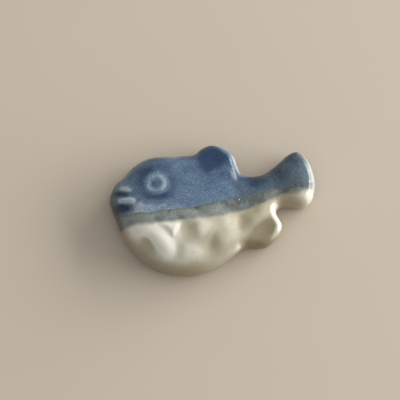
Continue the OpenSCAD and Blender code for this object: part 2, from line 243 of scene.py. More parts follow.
# Tones along the edge: how far they reach inward, which way the edge faces
# there, and between which heights the pale ones set in. The brown and dark tones
# lie on the side turned from the light, partly glaze breaking over the edge and
# partly painted shade; the pale ones lie on the side turned to the light and are
# painted highlights. Thin spots are evened out by a share at the very edge.
RIM_TONE_REACH = 2.8
EDGE_EVENING = 0.6
BROWN_AND_SHADE_SIDE = (-0.75, -0.66)
PAINTED_SHADE_LINE_REACH = 2.1
PAINTED_SHADE_LINE_SIDE = (-0.95, 0.15)
LIT_RIM_REACH = 1.9
LIT_RIM_SHARE = 0.70
LIT_RIM_SIDE = (0.98, 0.20)
PAINTED_HIGHLIGHT_REACH = 1.15
PAINTED_HIGHLIGHT_SIDE = (0.99, 0.05)
PAINTED_LIGHT_LEVELS = (3.6, 5.8)

# How the mesh is drawn. Below the widest level the side wall is a quarter
# ellipse, and places on it are angles in degrees. The glaze stops at an angle
# that wanders a little, and tapers over the steps past it: degrees further, and
# share of its thickness.
OUTLINE_PITCH = 155.0 / 700
OUTLINE_SOFTNESS = 0.5
GRID_PITCH = 0.25
MESH_PITCH = 0.30
BORDER_PITCH = MESH_PITCH * 0.8
BORDER_CLEARANCE = MESH_PITCH * 0.6
RING_CLEARANCE = MESH_PITCH * 0.65
POINT_CLEARANCE = MESH_PITCH * 0.55
CHUNK_SIZE = 2000
RIM_LEVELS = 7
UNDER_LEVELS = 6
FOOT_LEVELS = 6
GLAZE_STOP_ANGLE = 38.0
GLAZE_STOP_WANDER = 0.06
GLAZE_TAPER = ((1.2, 0.86), (2.6, 0.60), (4.5, 0.0))
# Values kept at each point: the glaze's pooling with painted shade and light mixed in, its broad pooling, the
# brown edge with painted shade, the painted shade line and the painted highlight line.
POINT_VALUES = ("pool", "broad_pool", "rim", "painted_shade_line", "painted_highlight_line")

# Cloudiness, gloss and ripple of each fired glaze.
GLAZES = {
    "blue_glaze": (0.75, 0.20, 0.5),
    "band_glaze": (0.40, 0.16, 0.5),
    "cream_glaze": (0.16, 0.30, 0.4),
    "pale_blue_glaze": (0.12, 0.20, 0.5),
}
BUMP_DEPTH = 0.08 * MM

# Between which thicknesses one colour of a glaze passes into the next.
PALE_TO_BLUE = (0.00, 0.42)
BLUE_TO_DEEP = (0.42, 1.26)
BAND_TO_DARK = (0.05, 1.05)
PALE_TO_CREAM = (0.18, 0.50)
CREAM_TO_OLIVE = (0.48, 0.90)

# Between which distances above a glaze line, in millimetres, one glaze passes
# into another, and the speckle of the blue sets in.
CREAM_TO_BAND = (-0.80, 0.65)
BAND_TO_BLUE = (-0.25, 0.30)
SPECKLE_ONSET = (-4.6, 0.8)

# What tints a colour: the tail's blue, the speckle, and the patches of the clay
# and the floor.
TAIL_TINT = (0.96, 0.86, 0.70, 1.0)
PALE_SPECKLE_TINT = (1.9, 1.8, 1.7, 1.0)
DARK_SPECKLE_TINT = (0.52, 0.56, 0.62, 1.0)
CLAY_PATCH_TINT = (0.72, 0.66, 0.58)
FLOOR_PATCH_TINT = 0.985

# How strongly the edge's tones cover the glaze: the brown and dark ones partly as
# painted shade, the white one as a painted highlight.
BROWN_RIM_AND_SHADE_COVER = 0.56
DARK_RIM_AND_SHADE_COVER = 0.80
PAINTED_HIGHLIGHT_COVER = 0.72

# The stage, in metres, watts and degrees. The world is brighter on one side.
WORLD_STRENGTH = 0.60
WORLD_LEAN_SHARE = 0.32
WORLD_COLOUR = (1.0, 0.985, 0.965, 1.0)
BRIGHT_SIDE = (0.60, 0.80, 0.0)
WINDOW_WIDTH = 1.5
WINDOW_HEIGHT = 0.50
WINDOW_POWER = 20.0
WINDOW_COLOUR = (1.0, 0.98, 0.955)
WINDOW_DISTANCE = 1.0
WINDOW_TURN = 18.0
WINDOW_LIFT = 20.0
FLOOR_SIZE = 3.0
CAMERA_ELEVATION = 75.0
CAMERA_DISTANCE = 0.75
PHOTO_PIXELS = 400
PIXEL_SIZE = 0.2696
FRAME_WIDTH = PHOTO_PIXELS * PIXEL_SIZE * MM
CAMERA_TARGET = (-3.26 * MM, 3.80 * MM, 0.0)


class CHOPREST_PG_form(PropertyGroup):
    """Sizes of the clay and its glaze"""

    plate_height: FloatProperty(
        name="Plate height", description="Height of the plate that carries the fins",
        default=0.0064, unit="LENGTH")
    body_rise: FloatProperty(
        name="Body rise", description="Rise of the round body above the plate",
        default=HEIGHT * MM - 0.0064, unit="LENGTH")
    tail_rise: FloatProperty(
        name="Tail rise", description="Rise of the tail's end above the plate",
        default=0.0032, unit="LENGTH")
    widest_level: FloatProperty(
        name="Widest level", description="Height at which the side wall is widest",
        default=0.0026, unit="LENGTH")
    foot_inset: FloatProperty(
        name="Foot inset", description="How far the foot lies inside the widest outline",
        default=0.0013, unit="LENGTH")
    rim_radius: FloatProperty(
        name="Rim radius", description="Radius of the body's rounding above the widest level",
        default=0.0036, unit="LENGTH")
    fin_radius: FloatProperty(
        name="Fin radius", description="Radius of the rounding round the fins and the tail",
        default=0.0018, unit="LENGTH")
    dome_reach: FloatProperty(
        name="Dome reach", description="Reach of the slow dome inward from the edge",
        default=0.012, unit="LENGTH")
    glaze: FloatProperty(
        name="Glaze", description="Thickness of the fired glaze", default=GLAZE * MM, unit="LENGTH")


class CHOPREST_PG_relief(PropertyGroup):
    """Sizes of the relief pressed into the clay"""

    dorsal_dish: FloatProperty(
        name="Dorsal dish", description="Depth of the dish in the dorsal fin",
        default=0.0010, unit="LENGTH")
    anal_dish: FloatProperty(
        name="Anal dish", description="Depth of the dish in the anal fin",
        default=0.0009, unit="LENGTH")
    crease: FloatProperty(
        name="Crease", description="Depth of the crease between the belly and the anal fin",
        default=0.0005, unit="LENGTH")
    crest: FloatProperty(
        name="Crest", description="Height of the ridge along the foot of the anal fin",
        default=0.00022, unit="LENGTH")
    mouth: FloatProperty(
        name="Mouth", description="Depth of the hollows round the lips",
        default=0.0006, unit="LENGTH")
    eye_radius: FloatProperty(
        name="Eye radius", description="Radius of the middle of the raised ring",
        default=float(EYE_HIGH[0] - EYE_LOW[0]) * MM / 2 - 0.0008, unit="LENGTH")
    eye_rise: FloatProperty(
        name="Eye rise", description="Height of the raised ring", default=0.00022, unit="LENGTH")
    lip_rise: FloatProperty(
        name="Lip rise", description="Height of the lips", default=0.00036, unit="LENGTH")
    pectoral_rise: FloatProperty(
        name="Pectoral rise", description="Height of the pectoral fin's outer edge",
        default=0.00045, unit="LENGTH")


class CHOPREST_PG_colours(PropertyGroup):
    """Colours of the glazes, the clay and the floor"""

    blue_deep: FloatVectorProperty(
        name="Deep blue", description="Blue glaze where it has pooled", subtype="COLOR",
        default=(0.005, 0.024, 0.066))
    blue: FloatVectorProperty(
        name="Blue", description="Blue glaze at its usual thickness", subtype="COLOR",
        default=(0.090, 0.146, 0.222))
    blue_pale: FloatVectorProperty(
        name="Pale blue", description="Blue glaze where it runs thin over a ridge",
        subtype="COLOR", default=(0.320, 0.400, 0.460))
    band: FloatVectorProperty(
        name="Band", description="Grey green where the two glazes overlap", subtype="COLOR",
        default=(0.215, 0.240, 0.225))
    band_dark: FloatVectorProperty(
        name="Dark band", description="The overlap where it has pooled", subtype="COLOR",
        default=(0.060, 0.074, 0.076))
    cream: FloatVectorProperty(
        name="Cream", description="Cream glaze at its usual thickness", subtype="COLOR",
        default=(0.400, 0.374, 0.282))
    cream_pale: FloatVectorProperty(
        name="Pale cream", description="Cream glaze where it runs thin over a nub",
        subtype="COLOR", default=(0.690, 0.680, 0.590))
    cream_deep: FloatVectorProperty(
        name="Olive cream", description="Cream glaze where it has pooled", subtype="COLOR",
        default=(0.190, 0.165, 0.100))
    # This brown is partly glaze breaking over the edge and partly painted shade, since it is laid only on the
    # side turned from the light.
    rim: FloatVectorProperty(
        name="Brown rim and painted shade", description="Cream glaze where it breaks thin over the edge", subtype="COLOR",
        default=(0.225, 0.150, 0.074))
    # This dark edge colour is laid only on the side turned from the light: partly glaze breaking over the
    # edge, partly painted shade.
    rim_dark_and_shade: FloatVectorProperty(
        name="Dark rim and painted shade", description="Blue glaze where it breaks thin over the edge", subtype="COLOR",
        default=(0.060, 0.062, 0.056))
    # This white is a painted highlight: laid on the upper rims turned to the light, and in a few small dots
    # that stand for glints.
    painted_highlight_white: FloatVectorProperty(
        name="Painted highlight", description="Blue glaze where it is drawn off a sharp edge to the clay",
        subtype="COLOR", default=(0.560, 0.600, 0.610))
    clay: FloatVectorProperty(
        name="Clay", description="Bare fired clay at the foot", subtype="COLOR",
        default=(0.500, 0.410, 0.300))
    floor: FloatVectorProperty(
        name="Floor", description="Plain floor", subtype="COLOR", default=(0.507, 0.447, 0.369))


# Lines and distances

def place(shares):
    """Points in millimetres from their shares."""
    return CLAY_LOW[:2] + np.atleast_2d(np.array(shares, float)) * (LENGTH, WIDTH)


def curve_through(points, steps, closed=False):
    """A smooth curve through points, with that many steps between two of them."""
    points = np.asarray(points, float)
    if closed:
        before, start = np.roll(points, 1, axis=0), points
        end, beyond = np.roll(points, -1, axis=0), np.roll(points, -2, axis=0)
    else:
        longer = np.vstack([2 * points[0] - points[1], points, 2 * points[-1] - points[-2]])
        before, start, end, beyond = longer[:-3], longer[1:-2], longer[2:-1], longer[3:]
    a, b, c, d = (row[:, None, :] for row in (before, start, end, beyond))
    t = (np.arange(steps) / steps)[None, :, None]
    fine = b + ((c - a) * t + (2 * a - 5 * b + 4 * c - d) * t**2 + (3 * b - a - 3 * c + d) * t**3) / 2
    fine = fine.reshape(-1, 2)
    return fine if closed else np.vstack([fine, points[-1:]])


def even_steps(points, pitch, closed=False):
    """The same line with its points a like distance apart."""
    if closed:
        points = np.vstack([points, points[:1]])
    along = np.append(0, np.cumsum(np.linalg.norm(np.diff(points, axis=0), axis=1)))
    number = max(3, round(along[-1] / pitch))
    wanted = np.arange(number + (0 if closed else 1)) * along[-1] / number
    return np.column_stack([np.interp(wanted, along, points[:, k]) for k in range(2)])


def soften_loop(loop, softness):
    """A closed line with its tight bends eased over a distance."""
    step = np.linalg.norm(loop[1] - loop[0])
    waves = np.fft.fftfreq(len(loop), d=step)
    kept = np.exp(-2 * (np.pi * waves * softness) ** 2)
    eased = np.fft.ifft(np.fft.fft(loop[:, 0] + 1j * loop[:, 1]) * kept)
    return np.column_stack([eased.real, eased.imag])


def loop_normals(loop):
    """Outward directions of a closed line that runs clockwise."""
    way = np.roll(loop, -1, axis=0) - np.roll(loop, 1, axis=0)
    way /= np.linalg.norm(way, axis=1)[:, None]
    return np.column_stack([-way[:, 1], way[:, 0]])


def chunks(count):
    """Runs of point numbers, short enough to compare each run with a whole line at once."""
    return np.array_split(np.arange(count), count // CHUNK_SIZE + 1)


def distance_to_line(points, line, closed=False):
    """Distance of each point from a line."""
    start, end = (line, np.roll(line, -1, axis=0)) if closed else (line[:-1], line[1:])
    way = end - start
    square = np.maximum((way**2).sum(axis=1), 1e-12)
    best = np.empty(len(points))
    for chunk in chunks(len(points)):
        gap = points[chunk, None, :] - start[None]
        t = np.clip((gap * way).sum(axis=2) / square, 0, 1)
        best[chunk] = np.sqrt((((gap - t[..., None] * way) ** 2).sum(axis=2)).min(axis=1))
    return best


def inside_line(points, line):
    """Which points lie inside a closed line."""
    inside = np.zeros(len(points), bool)
    for a, b in zip(line, np.roll(line, -1, axis=0)):
        if a[1] == b[1]:
            continue
        crosses = (a[1] > points[:, 1]) != (b[1] > points[:, 1])
        crossing = (b[0] - a[0]) * (points[:, 1] - a[1]) / (b[1] - a[1]) + a[0]
        inside ^= crosses & (points[:, 0] < crossing)
    return inside


def smooth_step(value, low, high):
    """A smooth passage from 0 at low to 1 at high, whichever of the two is larger."""
    t = np.clip((value - low) / (high - low), 0, 1)
    return t * t * (3 - 2 * t)


def quarter_round(t, fullness=ROUND_FULLNESS):
    """Quarter round that reaches its full height at t = 1, steeper at its foot as it gets fuller."""
    return (1 - (1 - np.clip(t, 0, 1)) ** 2) ** (1 / fullness)


def mound_square(points, row, tailward_share=1.0):
    """Squared distance from a mound's middle, in half sizes of the mound."""
    gap = points - place(row[:2])
    cosine, sine = math.cos(math.radians(row[4])), math.sin(math.radians(row[4]))
    along = (gap[:, 0] * cosine + gap[:, 1] * sine) / (row[2] * LENGTH)
    along = np.where(along > 0, along * tailward_share, along)
    across = (gap[:, 1] * cosine - gap[:, 0] * sine) / (row[3] * LENGTH)
    return along**2 + across**2


def broad(points, row):
    """Mound with a flat top, which reaches further and falls more gently towards the tail."""
    square = mound_square(points, row, TAILWARD_SHARE)
    passage_half = 0.3 * LENGTH
    tailward = smooth_step(points[:, 0] - place(row[:2])[0, 0], -passage_half, passage_half)
    flatness = BROAD_MOUND_FLATNESS - TAILWARD_FLATNESS_LOSS * tailward
    return np.where(square < 1, (1 - square ** flatness) ** 2, 0)


def soft(points, row):
    """Bell-shaped mound, which has nearly faded out at its half sizes."""
    return np.exp(-SOFT_MOUND_FALL * mound_square(points, row))


def swell(distance, reach):
    """Round bump that fades out past its reach."""
    return np.exp(-((distance / reach) ** 2))


class Grid:
    """Values on a square grid over the fish, read smoothly between its points."""

    def __init__(self, margin=4.0):
        low, high = CLAY_LOW[:2] - margin, CLAY_HIGH[:2] + margin
        self.low = low
        self.shape = tuple(int(n) for n in np.ceil((high - low) / GRID_PITCH)[::-1] + 1)
        rows, columns = np.indices(self.shape)
        self.points = low + np.column_stack([columns.ravel(), rows.ravel()]) * GRID_PITCH

    def blurred(self, values, reach):
        """The values blurred over a reach in millimetres."""
        radius = int(3 * reach / GRID_PITCH) + 1
        kernel = np.exp(-0.5 * (np.arange(-radius, radius + 1) * GRID_PITCH / reach) ** 2)
        kernel /= kernel.sum()
        field = np.pad(values.reshape(self.shape), radius, mode="edge")
        for axis in (0, 1):
            field = np.apply_along_axis(np.convolve, axis, field, kernel, mode="valid")
        return field.ravel()

    def read(self, values, points):
        """The values at points, by a cubic curve through the grid."""
        field = values.reshape(self.shape)
        spot = (points - self.low) / GRID_PITCH
        cell = np.floor(spot).astype(int)
        t = spot - cell
        share = np.stack([(-t + 2 * t**2 - t**3) / 2, (2 - 5 * t**2 + 3 * t**3) / 2,
                          (t + 4 * t**2 - 3 * t**3) / 2, (-t**2 + t**3) / 2])
        total = 0
        for i in range(4):
            for j in range(4):
                known = field[cell[:, 1] + j - 1, cell[:, 0] + i - 1]
                total = total + share[i, :, 0] * share[j, :, 1] * known
        return total


# The fish's surface

class FishSurface:
    """The fish worked out once: its clay, its glaze and the ground of each piece."""

    def __init__(self, form, relief):
        self.form, self.relief = form, relief
        back, belly = place(BACK_SHARES), place(BELLY_SHARES)
        loop = curve_through(np.vstack([back, belly[::-1]]), 40, closed=True)
        loop = even_steps(loop, OUTLINE_PITCH, closed=True)
        self.outline = soften_loop(loop, OUTLINE_SOFTNESS)
        self.normals = loop_normals(self.outline)
        self.count = len(self.outline)
        self.upper_line = even_steps(curve_through(place(UPPER_LINE_SHARES), 30), MESH_PITCH)
        self.lower_line = even_steps(curve_through(place(LOWER_LINE_SHARES), 30), MESH_PITCH)
        self.inset = form.foot_inset / MM
        self.ring = self.outline - self.normals * self.inset
        self.make_fields()
        self.make_ground()
        self.make_sheet()

    # Heights

    def make_fields(self):
        """Blurred copies of the height, which have no crease along the fish's middle."""
        self.grid = Grid()
        points = self.grid.points
        depth = distance_to_line(points, self.outline, closed=True)
        depth = np.where(inside_line(points, self.outline), depth, 0)
        self.soft_rim = self.grid.blurred(self.rim_rise(points, depth), RIM_BLUR)
        self.soft_dome = self.grid.blurred(quarter_round(depth / (self.form.dome_reach / MM)), DOME_BLUR)
        wide = self.plate_height(points) + self.lump_height(points)
        self.pool_and_painted_shading_field = self.grid.blurred(wide, POOL_BLUR) - wide + self.pools_and_painted_shading(points)
        self.broad_pool_field = self.grid.blurred(wide, BROAD_POOL_BLUR) - wide

    def plate_height(self, points):
        """Height of the clay far from any edge."""
        form, relief = self.form, self.relief
        height = form.plate_height + form.body_rise * broad(points, BODY_MOUND)
        height = height + form.tail_rise * soft(points, TAIL_MOUND)
        height = height - relief.dorsal_dish * soft(points, DORSAL_DISH)
        height = height - relief.anal_dish * soft(points, ANAL_DISH) - relief.crease * soft(points, CREASE)
        height = height - relief.mouth * (soft(points, MOUTH) + soft(points, CHIN))
        crest = distance_to_line(points, curve_through(place(CREST_SHARES), 8))
        height = height + relief.crest * swell(crest, CREST_REACH)
        return height / MM

    def rim_rise(self, points, depth):
        """Share of its full height that the rounding has reached, fuller round the fins."""
        fin = self.fin_share(points)
        body, fins = self.form.rim_radius / MM, self.form.fin_radius / MM
        return quarter_round(depth / (body + (fins - body) * fin), ROUND_FULLNESS + FIN_FULLNESS * fin)

    def fin_share(self, points):
        """1 round the fins and the tail, and 0 round the body."""
        middle, reach = place(BODY_MOUND[:2])[0], BODY_MOUND[2] * LENGTH
        away = np.linalg.norm((points - middle) / (1.0, BODY_WIDTH_SHARE), axis=1) / reach
        from_dorsal = np.linalg.norm(points - place(DORSAL_DISH[:2]), axis=1) / (DORSAL_DISH[2] * LENGTH)
        return np.maximum(smooth_step(away, *OFF_BODY), smooth_step(from_dorsal, *BY_DORSAL))

    def clay_height(self, points, depth):
        """Height of the clay at points that lie a depth inside the outline."""
        form = self.form
        widest = form.widest_level / MM
        rim = self.rim_rise(points, depth)
        fin = self.fin_share(points)
        past_start = depth - SOFTENING_START + FIN_SOFTENING_LEAD * fin
        softened = smooth_step(past_start / (SOFTENING_REACH - FIN_SOFTENING_CUT * fin), 0.0, 1.0)
        rim = rim + (self.grid.read(self.soft_rim, points) - rim) * softened
        dome = quarter_round(depth / (form.dome_reach / MM))
        softened = smooth_step(depth, *DOME_SOFTENING)
        dome = dome + (self.grid.read(self.soft_dome, points) - dome) * softened
        rise = (1 - DOME_SHARE) * rim + DOME_SHARE * dome
        return widest + (self.plate_height(points) - widest) * rise

    def relief_height(self, points):
        """Height of the pressed relief over the clay."""
        relief = self.relief
        ring, moat = self.eye_shape(points)
        lips, grooves = self.lip_shape(points)
        height = relief.eye_rise * (ring - MOAT_SHARE * moat)
        height = height + relief.lip_rise * (lips - GROOVE_SHARE * grooves)
        return height / MM + self.pectoral_height(points) + self.lump_height(points)

    def lump_height(self, points):
        """Height of the nubs and of the low swells and hollows between them."""
        return sum(row[5] * np.exp(-mound_square(points, row) ** LUMP_FLATNESS)
                   for row in NUB_LUMPS + SOFT_LUMPS)

    def eye_shape(self, points):
        """The eye's ring and low pupil, and the moat around them, from 0 to 1."""
        from_middle = np.linalg.norm(points - place(EYE_SHARE), axis=1)
        from_ring = from_middle - self.relief.eye_radius / MM + EYE_RING_INSET
        ring = swell(from_ring, EYE_RING_REACH) + PUPIL_SHARE * swell(from_middle, PUPIL_REACH)
        return ring, swell(from_ring - MOAT_DISTANCE, MOAT_REACH)

    def lip_shape(self, points):
        """The two lips, which fade out at their ends, and the grooves beside them."""
        lips = 0
        for row in (UPPER_LIP_SHARES, LOWER_LIP_SHARES):
            start, end = place(row)
            along = (points - start) @ (end - start) / ((end - start) @ (end - start))
            fade = smooth_step(along, -0.35, 0.45) * smooth_step(along, 1.55, 0.75)
            lips = lips + fade * swell(distance_to_line(points, place(row)), LIP_REACH)
        grooves = sum(swell(distance_to_line(points, place(row)), reach) for row, reach in GROOVES)
        return lips, grooves

    def pools_and_painted_shading(self, points):
        """How much thicker or thinner the glaze ran, apart from the clay's own hollows; some rows darken
        places as painted shade or lighten them as painted light.
        """
        from_middle = np.linalg.norm(points - place(EYE_SHARE), axis=1)
        from_ring = from_middle - self.relief.eye_radius / MM + RING_TONE_INSET
        ring = np.exp(-(from_ring / RING_TONE_REACH) ** 4)
        moat = self.eye_shape(points)[1]
        lips, grooves = self.lip_shape(points)
        extra = MOAT_POOL * moat + GROOVE_POOL * grooves - RING_THINNING * ring - LIP_THINNING * lips
        pectoral = self.pectoral_height(points) / (self.relief.pectoral_rise / MM)
        extra = extra - PECTORAL_THINNING * pectoral
        for row in POOLS_AND_PAINTED_SHADING:
            extra = extra + row[5] * np.exp(-mound_square(points, row))
        return extra

    def pectoral_height(self, points):
        """A three-cornered fin that rises to its outer edge, with a groove on its inner side."""
        corners = place(PECTORAL_SHARES)
        near, far, tip = corners
        rise = self.relief.pectoral_rise / MM
        depth = distance_to_line(points, corners, closed=True)
        depth = np.where(inside_line(points, corners), depth, -depth)
        across = np.clip(((points - near) @ (far - near)) / ((far - near) @ (far - near)), 0, 1)
        outer = swell(distance_to_line(points, np.array([far, tip])), PECTORAL_EDGE_REACH)
        groove_line = np.array([near, tip]) - PECTORAL_GROOVE_SHIFT
        groove = swell(distance_to_line(points, groove_line), PECTORAL_GROOVE_REACH)
        face = smooth_step(depth, *PECTORAL_FADE) * (PECTORAL_FACE + PECTORAL_TILT * across)
        edge = PECTORAL_EDGE_SHARE * outer * smooth_step(depth, *PECTORAL_EDGE_FADE)
        shape = face + edge - PECTORAL_GROOVE_SHARE * groove
        from_top = distance_to_line(points, np.array([near, far]))
        below_top = smooth_step(from_top, 0.0, PECTORAL_TOP_REACH)
        return rise * shape * (PECTORAL_TOP_SHARE + (1 - PECTORAL_TOP_SHARE) * below_top)

    # Ground plan

    def make_ground(self):
        """Borders of the pieces, seen from above."""
        eye, radius = place(EYE_SHARE)[0], self.relief.eye_radius / MM
        turn = np.linspace(0, 2 * math.pi, 73)[:-1, None]
        circle = np.hstack([np.cos(turn), np.sin(turn)])
        self.patches = {
            "eye_pupil": [eye + circle * (radius - BEAD_MARGIN)],
            "eye_ring": [eye + circle * (radius + BEAD_MARGIN)],
            "upper_lip": [self.capsule(UPPER_LIP_SHARES)],
            "lower_lip": [self.capsule(LOWER_LIP_SHARES)],
            "pectoral_fin": [self.rounded(place(PECTORAL_SHARES))],
            "belly_nubs": [self.nub_edge(row, circle) for row in NUB_LUMPS],
        }
        self.patches = {name: [even_steps(line, BORDER_PITCH, closed=True) for line in lines]
                        for name, lines in self.patches.items()}
        self.seams = {name: even_steps(place(row), MESH_PITCH) for name, row in SEAM_SHARES.items()}

    def capsule(self, shares):
        """Outline of a bead between two places."""
        start, end = place(shares)
        way = (end - start) / np.linalg.norm(end - start)
        side = np.array([-way[1], way[0]])
        turn = np.linspace(0, math.pi, 19)[:, None]
        half_round = BEAD_MARGIN * (np.cos(turn) * side + np.sin(turn) * way)
        return np.vstack([end + half_round, start - half_round])

    def rounded(self, corners):
        """Outline of a three-cornered patch with round corners, a little outside the corners."""
        middle = corners.mean(axis=0)
        straight = even_steps(middle + (corners - middle) * PECTORAL_PATCH_SCALE, 0.2, closed=True)
        return soften_loop(straight, 0.25)

    def nub_edge(self, row, circle):
        """Outline of a nub."""
        cosine, sine = math.cos(math.radians(row[4])), math.sin(math.radians(row[4]))
        along, across = circle[:, 0] * row[2] * LENGTH, circle[:, 1] * row[3] * LENGTH
        turned = np.column_stack([along * cosine - across * sine, along * sine + across * cosine])
        return place(row[:2]) + turned

    def runs_inside(self, line, closed):
        """The stretches of a line inside the ring, with the ring points that they end on."""
        clear = distance_to_line(line, self.ring, closed=True) > BORDER_CLEARANCE
        keep = inside_line(line, self.ring) & clear
        if closed and keep.all():
            return [(None, line, None)]
        if closed:
            first = int(np.argmin(keep))
            line, keep = np.roll(line, -first, axis=0), np.roll(keep, -first)
        runs, start = [], None
        for i in range(len(line) + 1):
            if i < len(line) and keep[i]:
                start = i if start is None else start
            elif start is not None:
                if i - start > 1:
                    first, last = self.ring_exit(line, start, -1), self.ring_exit(line, i - 1, 1)
                    runs.append((first, line[start:i], last))
                start = None
        return runs

    def ring_exit(self, line, i, step):
        """Number of the ring point where a line leaves the ring past its point i."""
        while 0 < i < len(line) - 1 and inside_line(line[i:i + 1], self.ring)[0]:
            i += step
        return int(np.argmin(np.linalg.norm(self.ring - line[i], axis=1)))

    # The sheet of faces

    def make_sheet(self):
        """One sheet of faces over the whole fish, with its points on the clay and on the glaze."""
        self.triangulate()
        self.label_faces()
        self.lift_points()

    def triangulate(self):
        """Triangles inside the ring, with an edge along each border."""
        points, edges = [self.ring], [(i, (i + 1) % self.count) for i in range(self.count)]
        total = self.count
        borders = [(line, True) for lines in self.patches.values() for line in lines]
        borders += [(self.upper_line, False), (self.lower_line, False)]
        borders += [(seam, False) for seam in self.seams.values()]
        for line, closed in borders:
            for first, run, last in self.runs_inside(line, closed):
                own = list(range(total, total + len(run)))
                chain = own + own[:1] if first is None else [first] + own + [last]
                edges += list(zip(chain[:-1], chain[1:]))
                points.append(run)
                total += len(run)
        fixed = np.vstack(points[1:])
        points.append(self.loose_points(fixed))
        flat = np.vstack(points)
        found = delaunay_2d_cdt([Vector(p) for p in flat.tolist()], edges, [], 0, 1e-6, True)
        self.flat = np.array([tuple(v) for v in found[0]])
        triangles = np.array(found[2])
        middles = self.flat[triangles].mean(axis=1)
        keep = inside_line(middles, self.ring)
        self.triangles, self.middles = triangles[keep], middles[keep]
        ring_id = {old: new for new, olds in enumerate(found[3]) for old in olds if old < self.count}
        self.ring_ids = np.array([ring_id[i] for i in range(self.count)])

    def loose_points(self, fixed):
        """Points in even rows between the borders."""
        low, high = CLAY_LOW[:2], CLAY_HIGH[:2]
        row_step = MESH_PITCH * math.sqrt(3) / 2
        rows = np.arange(low[1], high[1], row_step)
        row = np.arange(low[0], high[0], MESH_PITCH)
        points = np.vstack([np.column_stack([row + MESH_PITCH / 2 * (k % 2), np.full(len(row), y)])
                            for k, y in enumerate(rows)])
        points = points[inside_line(points, self.ring)]
        points = points[distance_to_line(points, self.ring, closed=True) > RING_CLEARANCE]
        far = np.ones(len(points), bool)
        for chunk in chunks(len(points)):
            gaps = np.linalg.norm(points[chunk, None, :] - fixed[None], axis=2)
            far[chunk] = gaps.min(axis=1) > POINT_CLEARANCE
        return points[far]

    def glaze_names(self, points):
        """The glaze that covers each point."""
        above_upper = points[:, 1] > np.interp(points[:, 0], self.upper_line[:, 0], self.upper_line[:, 1])
        above_lower = points[:, 1] > np.interp(points[:, 0], self.lower_line[:, 0], self.lower_line[:, 1])
        return np.where(above_upper, "blue_glaze", np.where(above_lower, "band_glaze", "cream_glaze"))

    def clay_names(self, points):
        """The clay part that each point stands on."""
        names = np.full(len(points), "trunk", dtype="U16")
        for name, seam in self.seams.items():
            names[inside_line(points, seam)] = name
        return names

    def label_faces(self):
        """Names the glaze or relief and the clay part of each triangle and rim column."""
        self.skin = self.glaze_names(self.middles).astype("U16")
        for name in ("belly_nubs", "pectoral_fin", "lower_lip", "upper_lip", "eye_ring", "eye_pupil"):
            for line in self.patches[name]:
                self.skin[inside_line(self.middles, line)] = name
        self.clay = self.clay_names(self.middles)
        column_middles = (self.ring + np.roll(self.ring, -1, axis=0)) / 2
        self.skin_columns = self.glaze_names(column_middles)
        self.clay_columns = self.clay_names(column_middles)

    def lift_points(self):
        """Heights and directions of all points, on the clay and on the glaze."""
        form = self.form
        widest = form.widest_level / MM
        depths = self.inset * (np.linspace(1, 0, RIM_LEVELS + 1)[1:]) ** 2
        flats, heights = [self.flat], [self.clay_height(self.flat, self.depth_of(self.flat))]
        for depth in depths:
            ring = self.outline - self.normals * depth
            flats.append(ring)
            heights.append(self.clay_height(ring, np.full(self.count, depth)))
        for angle in self.wall_angles():
            flats.append(self.outline - self.normals * (self.inset * (1 - np.cos(angle)))[:, None])
            heights.append(widest * (1 - np.sin(angle)))
        self.clay_points = np.column_stack([np.vstack(flats), np.concatenate(heights)])
        self.levels = len(flats) - 1
        self.glaze_levels = RIM_LEVELS + UNDER_LEVELS + len(GLAZE_TAPER)
        self.rows = [self.ring_ids] + [len(self.flat) + k * self.count + np.arange(self.count)
                                       for k in range(self.levels)]
        thickness = np.full(len(self.clay_points), form.glaze / MM)
        for k, (_, share) in enumerate(GLAZE_TAPER):
            thickness[self.rows[RIM_LEVELS + UNDER_LEVELS + 1 + k]] *= share
        for row in self.rows[self.glaze_levels + 1:]:
            thickness[row] = 0
        thickness += self.relief_height(self.clay_points[:, :2]) * self.fade_of_relief()
        self.glaze_points = self.clay_points + self.point_normals(self.clay_points) * thickness[:, None]
        self.glaze_normals = self.point_normals(self.glaze_points, self.glaze_levels)
        # These values also carry painted shade and painted light, from the rows of darkened and lightened
        # places and from the lit rims.
        self.pool = self.grid.read(self.pool_and_painted_shading_field, self.clay_points[:, :2])
        self.broad_pool = self.grid.read(self.broad_pool_field, self.clay_points[:, :2])
        self.paint_rim_shade_and_light()

    def wall_angles(self):
        """Angles in radians of the side wall's levels, from the widest level down to the foot."""
        wander = 1 + GLAZE_STOP_WANDER * self.wander_along()
        angles = [GLAZE_STOP_ANGLE * share * wander for share in np.linspace(0, 1, UNDER_LEVELS + 1)[1:]]
        angles += [GLAZE_STOP_ANGLE * wander + further for further, _ in GLAZE_TAPER]
        start = angles[-1]
        angles += [start + (90 - start) * share for share in np.linspace(0, 1, FOOT_LEVELS + 1)[1:]]
        return np.radians(angles)

    def paint_rim_shade_and_light(self):
        """Where the glaze breaks brown or dark over the edge on the side turned from the light, partly
        painted shade, and where it is painted thin and pale on the side turned to the light as a painted
        highlight.
        """
        depth = self.depth_of(self.clay_points[:, :2])
        depth[len(self.flat) + RIM_LEVELS * self.count:] = 0
        edge = smooth_step(depth, RIM_TONE_REACH, 0.0)
        outward = self.normals[self.nearest_of(self.clay_points[:, :2])]
        # Brown only on the edge's side turned from the light: partly glaze breaking, partly painted shade.
        self.rim = edge * smooth_step(outward @ BROWN_AND_SHADE_SIDE, -0.2, 0.8)
        for name in ("pool", "broad_pool"):
            field = getattr(self, name)
            setattr(self, name, np.where(field < 0, field * (1 - EDGE_EVENING * edge), field))
